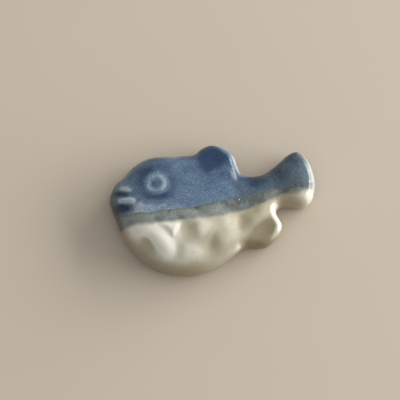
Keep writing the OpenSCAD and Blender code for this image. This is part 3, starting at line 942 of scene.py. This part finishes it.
        # A dark line along the edge's side turned from the light: painted shade.
        side_turned_from_light = smooth_step(outward @ PAINTED_SHADE_LINE_SIDE, 0.0, 0.6)
        self.painted_shade_line = smooth_step(depth, PAINTED_SHADE_LINE_REACH, 0.1) * side_turned_from_light
        upper = smooth_step(self.clay_points[:, 2], *PAINTED_LIGHT_LEVELS)
        # The glaze is counted thinner, so paler, on the upper rims turned to the light: painted light.
        thin = smooth_step(depth, LIT_RIM_REACH, 0.2) * smooth_step(outward @ LIT_RIM_SIDE, 0.25, 0.90)
        self.pool = self.pool - LIT_RIM_SHARE * thin * upper
        # A pale line on the upper rims turned to the light: painted highlight.
        pale = smooth_step(depth, PAINTED_HIGHLIGHT_REACH, 0.2) * smooth_step(outward @ PAINTED_HIGHLIGHT_SIDE, 0.72, 1.00)
        self.painted_highlight_line = pale * upper

    def nearest_of(self, points):
        """The outline point nearest to each point."""
        nearest = np.empty(len(points), int)
        for chunk in chunks(len(points)):
            gap = points[chunk, None, :] - self.outline[None]
            nearest[chunk] = (gap**2).sum(axis=2).argmin(axis=1)
        return nearest

    def depth_of(self, points):
        """How far points lie inside the outline."""
        return distance_to_line(points, self.outline, closed=True)

    def fade_of_relief(self):
        """1 on the top of the fish and 0 down its side wall."""
        fade = np.zeros(len(self.clay_points))
        fade[:len(self.flat)] = 1
        for k in range(1, RIM_LEVELS + 1):
            fade[self.rows[k]] = 1 - k / RIM_LEVELS
        return fade

    def wander_along(self):
        """A gentle wander along the outline, from -1 to 1, for the glaze's lower edge."""
        turn = 2 * math.pi * np.arange(self.count) / self.count
        return 0.5 * np.sin(5 * turn + 0.8) + 0.3 * np.sin(11 * turn + 2.1) + 0.2 * np.sin(23 * turn + 4.0)

    def quads(self, columns, last_level):
        """Faces of the side wall in some columns, down to a level."""
        found = []
        for k in range(last_level):
            upper, lower = self.rows[k], self.rows[k + 1]
            after = (columns + 1) % self.count
            found.append(np.column_stack([upper[columns], upper[after], lower[after], lower[columns]]))
        return np.vstack(found)

    def point_normals(self, points, last_level=None):
        """Directions square to the sheet at its points."""
        quads = self.quads(np.arange(self.count), self.levels if last_level is None else last_level)
        faces = np.vstack([self.triangles, quads[:, [0, 1, 2]], quads[:, [0, 2, 3]]])
        a, b, c = (points[faces[:, k]] for k in range(3))
        square = np.cross(b - a, c - a)
        normals = np.zeros_like(points)
        for k in range(3):
            np.add.at(normals, faces[:, k], square)
        size = np.linalg.norm(normals, axis=1)
        normals[size > 0] /= size[size > 0, None]
        return normals * np.sign(normals[: len(self.flat), 2].mean())


SURFACES = {}


def fish_surface(scene):
    """The fish's surface, worked out on first use."""
    if "fish" not in SURFACES:
        SURFACES["fish"] = FishSurface(scene.chopstick_rest_form, scene.chopstick_rest_relief)
    return SURFACES["fish"]


# Meshes

def boundary_edges(faces):
    """The edges that only one face has, each in that face's direction."""
    seen = {}
    for face in faces:
        for a, b in zip(face, face[1:] + face[:1]):
            seen[(a, b)] = seen.get((a, b), 0) + 1
    return [edge for edge in seen if edge[::-1] not in seen]


def facing_out(points, faces):
    """The faces, turned over if they enclose less than nothing."""
    volume = 0.0
    for face in faces:
        a = points[face[0]]
        for b, c in zip(face[1:-1], face[2:]):
            volume += float(np.dot(a, np.cross(points[b], points[c])))
    return faces if volume > 0 else [face[::-1] for face in faces]


def new_object(name, points, faces):
    """A mesh object in metres from points in millimetres."""
    mesh = bpy.data.meshes.new(name)
    mesh.from_pydata((np.asarray(points) * MM).tolist(), [], faces)
    mesh.validate()
    piece = bpy.data.objects.new(name, mesh)
    bpy.context.scene.collection.objects.link(piece)
    return piece


def finish_piece(piece, nodes, material):
    """Gives a piece its material and its body, and hides the CAD nodes it takes the place of."""
    piece.data.materials.append(material)
    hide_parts(*nodes)
    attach(piece, "root")


def add_values(piece, name, values):
    """Stores one value for each point of a mesh."""
    layer = piece.data.attributes.new(name, "FLOAT", "POINT")
    layer.data.foreach_set("value", np.asarray(values, np.float32))


def skin_piece(surface, name, with_sides):
    """A closed shell of glaze or relief over its own ground."""
    faces = surface.triangles[surface.skin == name].tolist()
    if with_sides:
        columns = np.where(surface.skin_columns == name)[0]
        faces += surface.quads(columns, surface.glaze_levels).tolist()
    used = sorted({i for face in faces for i in face})
    outer = {old: new for new, old in enumerate(used)}
    closed_row = set(surface.rows[surface.glaze_levels].tolist())
    inner, below = dict(outer), [i for i in used if i not in closed_row]
    for k, old in enumerate(below):
        inner[old] = len(used) + k
    points = np.vstack([surface.glaze_points[used], surface.clay_points[below]])
    shell = [[outer[i] for i in face] for face in faces]
    under = [list(dict.fromkeys(inner[i] for i in face[::-1])) for face in faces]
    walls = []
    for a, b in boundary_edges(faces):
        wall = list(dict.fromkeys([outer[b], outer[a], inner[a], inner[b]]))
        if len(wall) > 2:
            walls.append(wall)
    everything = shell + under + walls
    turned = facing_out(points, everything)
    piece = new_object(name + "_piece", points, turned)
    smooth_skin(piece, surface, used, len(shell))
    ids = used + below
    for value in POINT_VALUES:
        add_values(piece, value, getattr(surface, value)[ids])
    return piece


def smooth_skin(piece, surface, used, shell_faces):
    """Gives the shell's outer faces the directions of the whole surface, so that no seam shows."""
    mesh = piece.data
    mesh.polygons.foreach_set("use_smooth", [True] * len(mesh.polygons))
    directions = [(0.0, 0.0, 0.0)] * len(mesh.loops)
    outward = surface.glaze_normals[used]
    for polygon in mesh.polygons:
        if polygon.index < shell_faces:
            for loop in polygon.loop_indices:
                directions[loop] = tuple(outward[mesh.loops[loop].vertex_index])
        else:
            for loop in polygon.loop_indices:
                directions[loop] = tuple(polygon.normal)
    mesh.normals_split_custom_set(directions)


def clay_piece(surface, name):
    """A closed part of the clay body, from its top down to the flat foot."""
    top = surface.triangles[surface.clay == name]
    columns = np.where(surface.clay_columns == name)[0]
    faces = top.tolist() + surface.quads(columns, surface.levels).tolist()
    used = sorted({i for face in faces for i in face})
    number = {old: new for new, old in enumerate(used)}
    ring, lowest = surface.rows[0].tolist(), surface.rows[-1].tolist()
    foot = {a: number[b] for a, b in zip(ring, lowest) if b in number}
    floor_ids = [i for i in sorted(set(top.ravel().tolist())) if i not in foot]
    for k, old in enumerate(floor_ids):
        foot[old] = len(used) + k
    low = surface.clay_points[floor_ids].copy()
    low[:, 2] = 0
    points = np.vstack([surface.clay_points[used], low])
    closed = [[number[i] for i in face] for face in faces]
    closed += [[foot[i] for i in face[::-1]] for face in top.tolist()]
    order = {point: k for k, point in enumerate(ring)}
    own = set(columns.tolist())
    for a, b in boundary_edges(top.tolist()):
        if not over_column(order.get(a), order.get(b), own, surface.count):
            closed.append([number[b], number[a], foot[a], foot[b]])
    for i in column_ends(own, surface.count):
        wall = [number[int(row[i])] for row in surface.rows]
        closed.append(wall if i in own else wall[::-1])
    turned = facing_out(points, closed)
    piece = new_object(name + "_piece", points, turned)
    piece.data.polygons.foreach_set("use_smooth", [True] * len(piece.data.polygons))
    piece.data.set_sharp_from_angle(angle=math.radians(35))
    return piece


def over_column(i, j, own, count):
    """Whether two ring places, None for a point off the ring, are the two sides of an own column."""
    if i is None or j is None:
        return False
    if (i + 1) % count == j:
        return i in own
    return (j + 1) % count == i and j in own


def column_ends(own, count):
    """The ring places where a run of columns starts or stops."""
    starts = [c for c in own if (c - 1) % count not in own]
    stops = [(c + 1) % count for c in own if (c + 1) % count not in own]
    return sorted(starts + stops)


# Materials

def linear(colour):
    """A colour with its alpha."""
    return (colour[0], colour[1], colour[2], 1.0)


def add_node(tree, kind, inputs=None, **settings):
    """A node with its settings made and its inputs set or linked."""
    made = tree.nodes.new(kind)
    for name, value in settings.items():
        setattr(made, name, value)
    for key, value in (inputs or {}).items():
        socket = made.inputs[key]
        if isinstance(value, bpy.types.NodeSocket):
            tree.links.new(value, socket)
        else:
            socket.default_value = value
    return made


def math_node(tree, operation, a, b=0.0, c=0.0):
    """The result of a sum."""
    return add_node(tree, "ShaderNodeMath", {0: a, 1: b, 2: c}, operation=operation).outputs[0]


def passage(tree, value, low, high):
    """A smooth passage from 0 at low to 1 at high, whichever of the two is larger."""
    made = add_node(tree, "ShaderNodeMapRange", {"Value": value, "From Min": low, "From Max": high},
                    interpolation_type="SMOOTHSTEP")
    return made.outputs["Result"]


def mix_colours(tree, factor, a, b, blend="MIX"):
    """One colour over another."""
    made = add_node(tree, "ShaderNodeMix", {0: factor, 6: a, 7: b}, data_type="RGBA", blend_type=blend)
    return made.outputs[2]


def tinted(tree, factor, colour, tint):
    """A colour, multiplied by a tint as far as the factor says."""
    return mix_colours(tree, factor, colour, mix_colours(tree, 1.0, colour, tint, "MULTIPLY"))


def noise(tree, where, scale, detail=2.0, roughness=0.5):
    """Cloudy noise about 0.5, with finer features as the scale grows."""
    made = add_node(tree, "ShaderNodeTexNoise",
                    {"Vector": where, "Scale": scale, "Detail": detail, "Roughness": roughness})
    return made.outputs["Fac"]


def clouds_about_zero(tree, where, scale, detail=2.0, roughness=0.5):
    """The same noise about 0."""
    return math_node(tree, "SUBTRACT", noise(tree, where, scale, detail, roughness), 0.5)


def scattered_dots(tree, where, scale, outer, inner):
    """Small round dots, one in each cell: 0 at the outer distance from its middle and 1 at the inner."""
    cells = add_node(tree, "ShaderNodeTexVoronoi", {"Vector": where, "Scale": scale, "Randomness": 1.0})
    return passage(tree, cells.outputs["Distance"], outer, inner)


def point_value(tree, name):
    """A value that is stored for each point of the mesh."""
    return add_node(tree, "ShaderNodeAttribute", attribute_name=name).outputs["Fac"]


def add_bump(tree, height, strength):
    """The normal of a bumpy surface."""
    made = add_node(tree, "ShaderNodeBump", {"Height": height, "Strength": strength, "Distance": BUMP_DEPTH})
    return made.outputs["Normal"]


def millimetres(tree):
    """The place on the object, in millimetres."""
    where = add_node(tree, "ShaderNodeTexCoord").outputs["Object"]
    return add_node(tree, "ShaderNodeVectorMath", {0: where, "Scale": 1 / MM}, operation="SCALE").outputs[0]


def new_group(name, inputs, outputs):
    """An empty shader node group with its sockets."""
    group = bpy.data.node_groups.new(name, "ShaderNodeTree")
    for label, kind, value in inputs:
        socket = group.interface.new_socket(label, in_out="INPUT", socket_type=kind)
        socket.default_value = value
    for label, kind in outputs:
        group.interface.new_socket(label, in_out="OUTPUT", socket_type=kind)
    return group, group.nodes.new("NodeGroupInput"), group.nodes.new("NodeGroupOutput")


def line_curve(tree, x, shares):
    """Height across the fish, in millimetres, of a glaze line at x."""
    low, high = shares[0][0], shares[-1][0]
    from_start = math_node(tree, "SUBTRACT", x, CLAY_LOW[0] + low * LENGTH)
    along = math_node(tree, "MULTIPLY", from_start, 1 / ((high - low) * LENGTH))
    curve = add_node(tree, "ShaderNodeFloatCurve", {"Value": along})
    points = curve.mapping.curves[0].points
    spots = [((px - low) / (high - low), py) for px, py in shares]
    points[0].location, points[1].location = spots[0], spots[-1]
    for spot in spots[1:-1]:
        points.new(*spot)
    curve.mapping.update()
    return math_node(tree, "MULTIPLY_ADD", curve.outputs[0], WIDTH, CLAY_LOW[1])


def lines_group():
    """How far a place lies above the two glaze lines, which wander a little."""
    group, _, output = new_group("Glaze Lines", [], [("Above Upper", "NodeSocketFloat"),
                                                    ("Above Lower", "NodeSocketFloat")])
    where = millimetres(group)
    parts = add_node(group, "ShaderNodeSeparateXYZ", {0: where})
    slow = clouds_about_zero(group, where, 0.28, 1.0)
    fast = clouds_about_zero(group, where, 1.3)
    wander = math_node(group, "MULTIPLY_ADD", slow, 1.1, math_node(group, "MULTIPLY", fast, 0.35))
    y = math_node(group, "ADD", parts.outputs["Y"], wander)
    upper = math_node(group, "SUBTRACT", y, line_curve(group, parts.outputs["X"], UPPER_LINE_SHARES))
    lower = math_node(group, "SUBTRACT", y, line_curve(group, parts.outputs["X"], LOWER_LINE_SHARES))
    group.links.new(upper, output.inputs["Above Upper"])
    group.links.new(lower, output.inputs["Above Lower"])
    return group


def thickness_group():
    """How thick the glaze lies: 0.5 on even ground, more where it has pooled and less on ridges, with painted
    shade and painted light mixed in.
    """
    group, given, output = new_group("Glaze Thickness", [("Cloudiness", "NodeSocketFloat", 0.3)],
                                     [("Thickness", "NodeSocketFloat")])
    broad_share = math_node(group, "MULTIPLY", point_value(group, "broad_pool"), 0.30)
    pooled = math_node(group, "ADD", point_value(group, "pool"), broad_share)
    clouds = clouds_about_zero(group, millimetres(group), 0.30, 3.0, 0.60)
    clouds = math_node(group, "MULTIPLY", clouds, given.outputs["Cloudiness"])
    total = math_node(group, "ADD", math_node(group, "ADD", pooled, clouds), 0.5)
    group.links.new(total, output.inputs["Thickness"])
    return group


def speckle_group():
    """Fine pale and dark grain that lies in the glaze, stronger in some patches."""
    group, given, output = new_group(
        "Glaze Speckle",
        [("Size", "NodeSocketFloat", 0.4), ("Amount", "NodeSocketFloat", 0.3)],
        [("Pale", "NodeSocketFloat"), ("Dark", "NodeSocketFloat")])
    where = millimetres(group)
    scale = math_node(group, "DIVIDE", 1.0, given.outputs["Size"])
    grain = noise(group, where, scale, 2.0, 0.7)
    patch = passage(group, noise(group, where, 0.35), 0.32, 0.68)
    patchiness = math_node(group, "MULTIPLY_ADD", patch, 0.6, 0.7)
    strength = math_node(group, "MULTIPLY", given.outputs["Amount"], patchiness)
    pale = math_node(group, "MULTIPLY", passage(group, grain, 0.50, 0.72), strength)
    dark = math_node(group, "MULTIPLY", passage(group, grain, 0.50, 0.30), strength)
    group.links.new(pale, output.inputs["Pale"])
    group.links.new(dark, output.inputs["Dark"])
    return group


def colour_group(groups):
    """The colour of all three glazes at a place, from their lines, thickness, edge tones and speckle, with
    painted shade and painted highlights along the edge and a few white dots painted as glints.
    """
    colours = bpy.context.scene.chopstick_rest_colours
    names = [("Deep Blue", colours.blue_deep), ("Blue", colours.blue), ("Pale Blue", colours.blue_pale),
             ("Band", colours.band), ("Dark Band", colours.band_dark), ("Cream", colours.cream),
             ("Pale Cream", colours.cream_pale), ("Olive Cream", colours.cream_deep),
             ("Brown Rim And Shade", colours.rim), ("Dark Rim And Shade", colours.rim_dark_and_shade),
             ("Painted Highlight", colours.painted_highlight_white)]
    inputs = [("Thickness", "NodeSocketFloat", 0.5)]
    inputs += [(name, "NodeSocketColor", linear(colour)) for name, colour in names]
    group, given, output = new_group("Fish Glaze Colour", inputs, [("Colour", "NodeSocketColor")])
    put = given.outputs
    lines = add_node(group, "ShaderNodeGroup", node_tree=groups["lines"])
    above_upper, above_lower = lines.outputs["Above Upper"], lines.outputs["Above Lower"]
    where = millimetres(group)
    parts = add_node(group, "ShaderNodeSeparateXYZ", {0: where})
    thick = put["Thickness"]

    tailward = passage(group, parts.outputs["X"], 0.0, 15.0)
    backward = passage(group, above_upper, 0.0, 13.0)
    blue_thick = math_node(group, "MULTIPLY_ADD", backward, 0.32, thick)
    blue_thick = math_node(group, "SUBTRACT", blue_thick, 0.06)
    blue_thick = math_node(group, "MULTIPLY_ADD", tailward, 0.16, blue_thick)
    blue = mix_colours(group, passage(group, blue_thick, *PALE_TO_BLUE), put["Pale Blue"], put["Blue"])
    blue = mix_colours(group, passage(group, blue_thick, *BLUE_TO_DEEP), blue, put["Deep Blue"])
    blue = tinted(group, math_node(group, "MULTIPLY", tailward, 0.95), blue, TAIL_TINT)

    streaks = clouds_about_zero(group, where, 0.36, 1.0)
    band_thick = math_node(group, "MULTIPLY_ADD", streaks, 1.5, thick)
    band = mix_colours(group, passage(group, band_thick, *BAND_TO_DARK), put["Band"], put["Dark Band"])
    cream = mix_colours(group, passage(group, thick, *PALE_TO_CREAM), put["Pale Cream"], put["Cream"])
    cream = mix_colours(group, passage(group, thick, *CREAM_TO_OLIVE), cream, put["Olive Cream"])

    # Brown along the edge on the side turned from the light: partly glaze breaking, partly painted shade.
    rim = point_value(group, "rim")
    cream = mix_colours(group, math_node(group, "MULTIPLY", rim, BROWN_RIM_AND_SHADE_COVER), cream, put["Brown Rim And Shade"])
    # Dark along the edge of the blue and the band on the side turned from the light: partly glaze breaking,
    # partly painted shade.
    shaded_dark_rim_share = math_node(group, "MAXIMUM", passage(group, rim, 0.68, 0.98), point_value(group, "painted_shade_line"))
    shaded_dark_rim_share = math_node(group, "MULTIPLY", shaded_dark_rim_share, DARK_RIM_AND_SHADE_COVER)
    band = mix_colours(group, shaded_dark_rim_share, band, put["Dark Rim And Shade"])
    blue = mix_colours(group, shaded_dark_rim_share, blue, put["Dark Rim And Shade"])
    # White along the upper rims turned to the light: painted highlight.
    painted_highlight_line = point_value(group, "painted_highlight_line")
    highlight_cover = math_node(group, "MULTIPLY", painted_highlight_line, PAINTED_HIGHLIGHT_COVER)
    band = mix_colours(group, highlight_cover, band, put["Painted Highlight"])
    blue = mix_colours(group, highlight_cover, blue, put["Painted Highlight"])
    off_highlight = math_node(group, "SUBTRACT", 1.0, painted_highlight_line)

    colour = mix_colours(group, passage(group, above_lower, *CREAM_TO_BAND), cream, band)
    edge = math_node(group, "ABSOLUTE", math_node(group, "ADD", above_upper, 0.18))
    line = math_node(group, "MULTIPLY", off_highlight, 0.50)
    line = math_node(group, "MULTIPLY", passage(group, edge, 0.60, 0.05), line)
    colour = mix_colours(group, line, colour, put["Dark Band"])
    colour = mix_colours(group, passage(group, above_upper, *BAND_TO_BLUE), colour, blue)

    blueness = passage(group, above_upper, *SPECKLE_ONSET)
    amount = math_node(group, "MULTIPLY_ADD", blueness, 0.66, 0.10)
    amount = math_node(group, "MULTIPLY", amount, passage(group, thick, -0.30, 0.45))
    speckle = add_node(group, "ShaderNodeGroup", {"Size": 0.40, "Amount": amount},
                       node_tree=groups["speckle"])
    colour = tinted(group, speckle.outputs["Pale"], colour, PALE_SPECKLE_TINT)
    colour = tinted(group, speckle.outputs["Dark"], colour, DARK_SPECKLE_TINT)
    # A few small white dots that stand in for glints on pinholes: painted highlights.
    painted_glint_dots = math_node(group, "MULTIPLY", scattered_dots(group, where, 0.085, 0.020, 0.010), 0.75)
    colour = mix_colours(group, painted_glint_dots, colour, put["Painted Highlight"])
    group.links.new(colour, output.inputs["Colour"])
    return group


def finish_group():
    """Roughness and relief of the fired glaze: a faint smear, a slight ripple and a few pinholes."""
    group, given, output = new_group(
        "Glaze Finish",
        [("Gloss", "NodeSocketFloat", 0.16), ("Ripple", "NodeSocketFloat", 0.5)],
        [("Roughness", "NodeSocketFloat"), ("Height", "NodeSocketFloat")])
    where = millimetres(group)
    ripple = math_node(group, "MULTIPLY", noise(group, where, 0.8), given.outputs["Ripple"])
    height = math_node(group, "MULTIPLY_ADD", noise(group, where, 4.0, 1.0), 0.10, ripple)
    pinholes = math_node(group, "MULTIPLY", scattered_dots(group, where, 0.26, 0.045, 0.02), 0.06)
    height = math_node(group, "SUBTRACT", height, pinholes)
    smear = clouds_about_zero(group, where, 0.5, 3.0)
    rough = math_node(group, "MULTIPLY_ADD", smear, 0.16, given.outputs["Gloss"])
    group.links.new(math_node(group, "MAXIMUM", rough, 0.04), output.inputs["Roughness"])
    group.links.new(height, output.inputs["Height"])
    return group


def clay_grain_group():
    """Grain and colour patches of bare fired clay."""
    group, given, output = new_group(
        "Clay Grain", [("Grain Size", "NodeSocketFloat", 0.3)],
        [("Patch", "NodeSocketFloat"), ("Height", "NodeSocketFloat")])
    where = millimetres(group)
    scale = math_node(group, "DIVIDE", 1.0, given.outputs["Grain Size"])
    group.links.new(noise(group, where, 0.4, 3.0), output.inputs["Patch"])
    group.links.new(noise(group, where, scale, 4.0, 0.7), output.inputs["Height"])
    return group


def new_material(name):
    """A material with an empty shader, ready for its nodes."""
    material = bpy.data.materials.new(name)
    material.use_nodes = True
    tree = material.node_tree
    return material, tree, tree.nodes["Principled BSDF"]


GROUPS = {}


def make_groups():
    """The shared node groups, built on first use."""
    if not GROUPS:
        GROUPS.update(lines=lines_group(), speckle=speckle_group(), thickness=thickness_group(),
                      finish=finish_group(), clay=clay_grain_group())
        GROUPS["colour"] = colour_group(GROUPS)
    return GROUPS


def glaze_material(glaze):
    """A fired glaze with its own cloudiness, gloss and ripple, made on first use."""
    name = "fired_" + glaze
    if name in bpy.data.materials:
        return bpy.data.materials[name]
    cloudiness, gloss, ripple = GLAZES[glaze]
    groups = make_groups()
    material, tree, shader = new_material(name)
    thickness = add_node(tree, "ShaderNodeGroup", {"Cloudiness": cloudiness}, node_tree=groups["thickness"])
    colour = add_node(tree, "ShaderNodeGroup", {"Thickness": thickness.outputs["Thickness"]},
                      node_tree=groups["colour"])
    finish = add_node(tree, "ShaderNodeGroup", {"Gloss": gloss, "Ripple": ripple}, node_tree=groups["finish"])
    tree.links.new(colour.outputs["Colour"], shader.inputs["Base Color"])
    tree.links.new(finish.outputs["Roughness"], shader.inputs["Roughness"])
    tree.links.new(add_bump(tree, finish.outputs["Height"], 0.25), shader.inputs["Normal"])
    shader.inputs["IOR"].default_value = 1.45
    return material


def clay_material():
    """Bare fired clay."""
    if "bare_clay" in bpy.data.materials:
        return bpy.data.materials["bare_clay"]
    colour = linear(bpy.context.scene.chopstick_rest_colours.clay)
    material, tree, shader = new_material("bare_clay")
    grain = add_node(tree, "ShaderNodeGroup", node_tree=make_groups()["clay"])
    dark = linear([part * tint for part, tint in zip(colour, CLAY_PATCH_TINT)])
    patch = passage(tree, grain.outputs["Patch"], 0.35, 0.68)
    tree.links.new(mix_colours(tree, patch, colour, dark), shader.inputs["Base Color"])
    tree.links.new(add_bump(tree, grain.outputs["Height"], 0.5), shader.inputs["Normal"])
    shader.inputs["Roughness"].default_value = 0.85
    return material


# Operators

def add_skins(scene, rows, with_sides=False):
    """Makes glaze skins or pieces of relief, each with the glaze that covers it."""
    surface = fish_surface(scene)
    for name, glaze in rows:
        finish_piece(skin_piece(surface, name, with_sides), [name], glaze_material(glaze))


class CHOPREST_OT_clay(Operator):
    """Make the clay body: trunk, tail fin, dorsal fin and anal fin"""

    bl_idname = "chopstick_rest.clay"
    bl_label = "Clay body"

    def execute(self, context):
        surface = fish_surface(context.scene)
        for name in CLAY_NODES:
            finish_piece(clay_piece(surface, name), [name], clay_material())
        return {"FINISHED"}


class CHOPREST_OT_glaze(Operator):
    """Make the three glaze skins over the clay"""

    bl_idname = "chopstick_rest.glaze"
    bl_label = "Glaze skins"

    def execute(self, context):
        rows = [(name, name) for name in ("blue_glaze", "band_glaze", "cream_glaze")]
        add_skins(context.scene, rows, with_sides=True)
        return {"FINISHED"}


class CHOPREST_OT_eye(Operator):
    """Make the raised ring of the eye and its pupil"""

    bl_idname = "chopstick_rest.eye"
    bl_label = "Eye"

    def execute(self, context):
        add_skins(context.scene, [("eye_ring", "pale_blue_glaze"), ("eye_pupil", "blue_glaze")])
        return {"FINISHED"}


class CHOPREST_OT_lips(Operator):
    """Make the two lips"""

    bl_idname = "chopstick_rest.lips"
    bl_label = "Lips"

    def execute(self, context):
        add_skins(context.scene, [("upper_lip", "pale_blue_glaze"), ("lower_lip", "pale_blue_glaze")])
        return {"FINISHED"}


class CHOPREST_OT_belly_relief(Operator):
    """Make the pectoral fin and the belly nubs"""

    bl_idname = "chopstick_rest.belly_relief"
    bl_label = "Pectoral fin and nubs"

    def execute(self, context):
        add_skins(context.scene, [("pectoral_fin", "cream_glaze"), ("belly_nubs", "cream_glaze")])
        return {"FINISHED"}


class CHOPREST_OT_stage(Operator):
    """Make the floor, the lights and the camera"""

    bl_idname = "chopstick_rest.stage"
    bl_label = "Stage"

    def execute(self, context):
        context.scene.view_settings.view_transform = "Standard"
        make_floor(context.scene.chopstick_rest_colours)
        make_lights(context.scene)
        make_camera(context.scene)
        return {"FINISHED"}


def make_floor(colours):
    """A plain pale floor."""
    half = FLOOR_SIZE / 2
    corners = [(-half, -half, 0), (half, -half, 0), (half, half, 0), (-half, half, 0)]
    mesh = bpy.data.meshes.new("floor")
    mesh.from_pydata(corners, [], [(0, 1, 2, 3)])
    floor = bpy.data.objects.new("floor", mesh)
    bpy.context.scene.collection.objects.link(floor)
    material, tree, shader = new_material("floor")
    where = add_node(tree, "ShaderNodeTexCoord").outputs["Object"]
    tone = passage(tree, noise(tree, where, 30.0, 3.0), 0.2, 0.8)
    colour = linear(colours.floor)
    darker = linear([part * FLOOR_PATCH_TINT for part in colour])
    tree.links.new(mix_colours(tree, tone, colour, darker), shader.inputs["Base Color"])
    shader.inputs["Roughness"].default_value = 0.9
    shader.inputs["Specular IOR Level"].default_value = 0.1
    floor.data.materials.append(material)


def aim(thing, target):
    """Turns an object's -Z axis to a target."""
    thing.rotation_euler = (Vector(target) - thing.location).to_track_quat("-Z", "Y").to_euler()


def make_lights(scene):
    """A plain world, brighter behind and to the right, and one wide window, low to the right."""
    world = bpy.data.worlds.new("studio")
    scene.world = world
    world.use_nodes = True
    tree = world.node_tree
    background = tree.nodes["Background"]
    background.inputs["Color"].default_value = WORLD_COLOUR
    way = add_node(tree, "ShaderNodeTexCoord").outputs["Generated"]
    towards = add_node(tree, "ShaderNodeVectorMath", {0: way, 1: BRIGHT_SIDE}, operation="DOT_PRODUCT")
    strength = math_node(tree, "MULTIPLY_ADD", towards.outputs["Value"], WORLD_STRENGTH * WORLD_LEAN_SHARE,
                         WORLD_STRENGTH)
    tree.links.new(strength, background.inputs["Strength"])
    lamp = bpy.data.lights.new("window", "AREA")
    lamp.shape = "RECTANGLE"
    lamp.size = WINDOW_WIDTH
    lamp.size_y = WINDOW_HEIGHT
    lamp.energy = WINDOW_POWER
    lamp.color = WINDOW_COLOUR
    window = bpy.data.objects.new("window", lamp)
    scene.collection.objects.link(window)
    turn, lift = math.radians(WINDOW_TURN), math.radians(WINDOW_LIFT)
    way = (math.cos(lift) * math.cos(turn), math.cos(lift) * math.sin(turn), math.sin(lift))
    window.location = WINDOW_DISTANCE * Vector(way)
    aim(window, (0, 0, 0))


def make_camera(scene):
    """The photograph's view, from in front and well above."""
    data = bpy.data.cameras.new("camera")
    data.lens = data.sensor_width * CAMERA_DISTANCE / FRAME_WIDTH
    camera = bpy.data.objects.new("camera", data)
    scene.collection.objects.link(camera)
    lift = math.radians(CAMERA_ELEVATION)
    way = Vector((0, -math.cos(lift), math.sin(lift)))
    camera.location = Vector(CAMERA_TARGET) + CAMERA_DISTANCE * way
    aim(camera, CAMERA_TARGET)
    scene.camera = camera


OPERATORS = (CHOPREST_OT_clay, CHOPREST_OT_glaze, CHOPREST_OT_eye, CHOPREST_OT_lips,
             CHOPREST_OT_belly_relief, CHOPREST_OT_stage)


class CHOPREST_PT_panel(Panel):
    """The steps that build the chopstick rest"""

    bl_idname = "CHOPREST_PT_panel"
    bl_label = "Chopstick Rest"
    bl_space_type = "VIEW_3D"
    bl_region_type = "UI"
    bl_category = "Chopstick Rest"

    def draw(self, context):
        layout = self.layout
        for group in (context.scene.chopstick_rest_form, context.scene.chopstick_rest_relief,
                      context.scene.chopstick_rest_colours):
            box = layout.box()
            for name in group.bl_rna.properties.keys():
                if name not in ("rna_type", "name"):
                    box.prop(group, name)
        for operator in OPERATORS:
            layout.operator(operator.bl_idname)


CLASSES = (CHOPREST_PG_form, CHOPREST_PG_relief, CHOPREST_PG_colours) + OPERATORS + (CHOPREST_PT_panel,)


def register():
    """Adds the classes and the scene's settings."""
    for cls in CLASSES:
        bpy.utils.register_class(cls)
    bpy.types.Scene.chopstick_rest_form = PointerProperty(type=CHOPREST_PG_form)
    bpy.types.Scene.chopstick_rest_relief = PointerProperty(type=CHOPREST_PG_relief)
    bpy.types.Scene.chopstick_rest_colours = PointerProperty(type=CHOPREST_PG_colours)


def unregister():
    """Removes what register added."""
    del bpy.types.Scene.chopstick_rest_colours
    del bpy.types.Scene.chopstick_rest_relief
    del bpy.types.Scene.chopstick_rest_form
    for cls in reversed(CLASSES):
        bpy.utils.unregister_class(cls)


def main():
    """Builds the whole fish and its stage."""
    register()
    bpy.ops.chopstick_rest.clay()
    bpy.ops.chopstick_rest.glaze()
    bpy.ops.chopstick_rest.eye()
    bpy.ops.chopstick_rest.lips()
    bpy.ops.chopstick_rest.belly_relief()
    bpy.ops.chopstick_rest.stage()


if __name__ == "__main__":
    main()
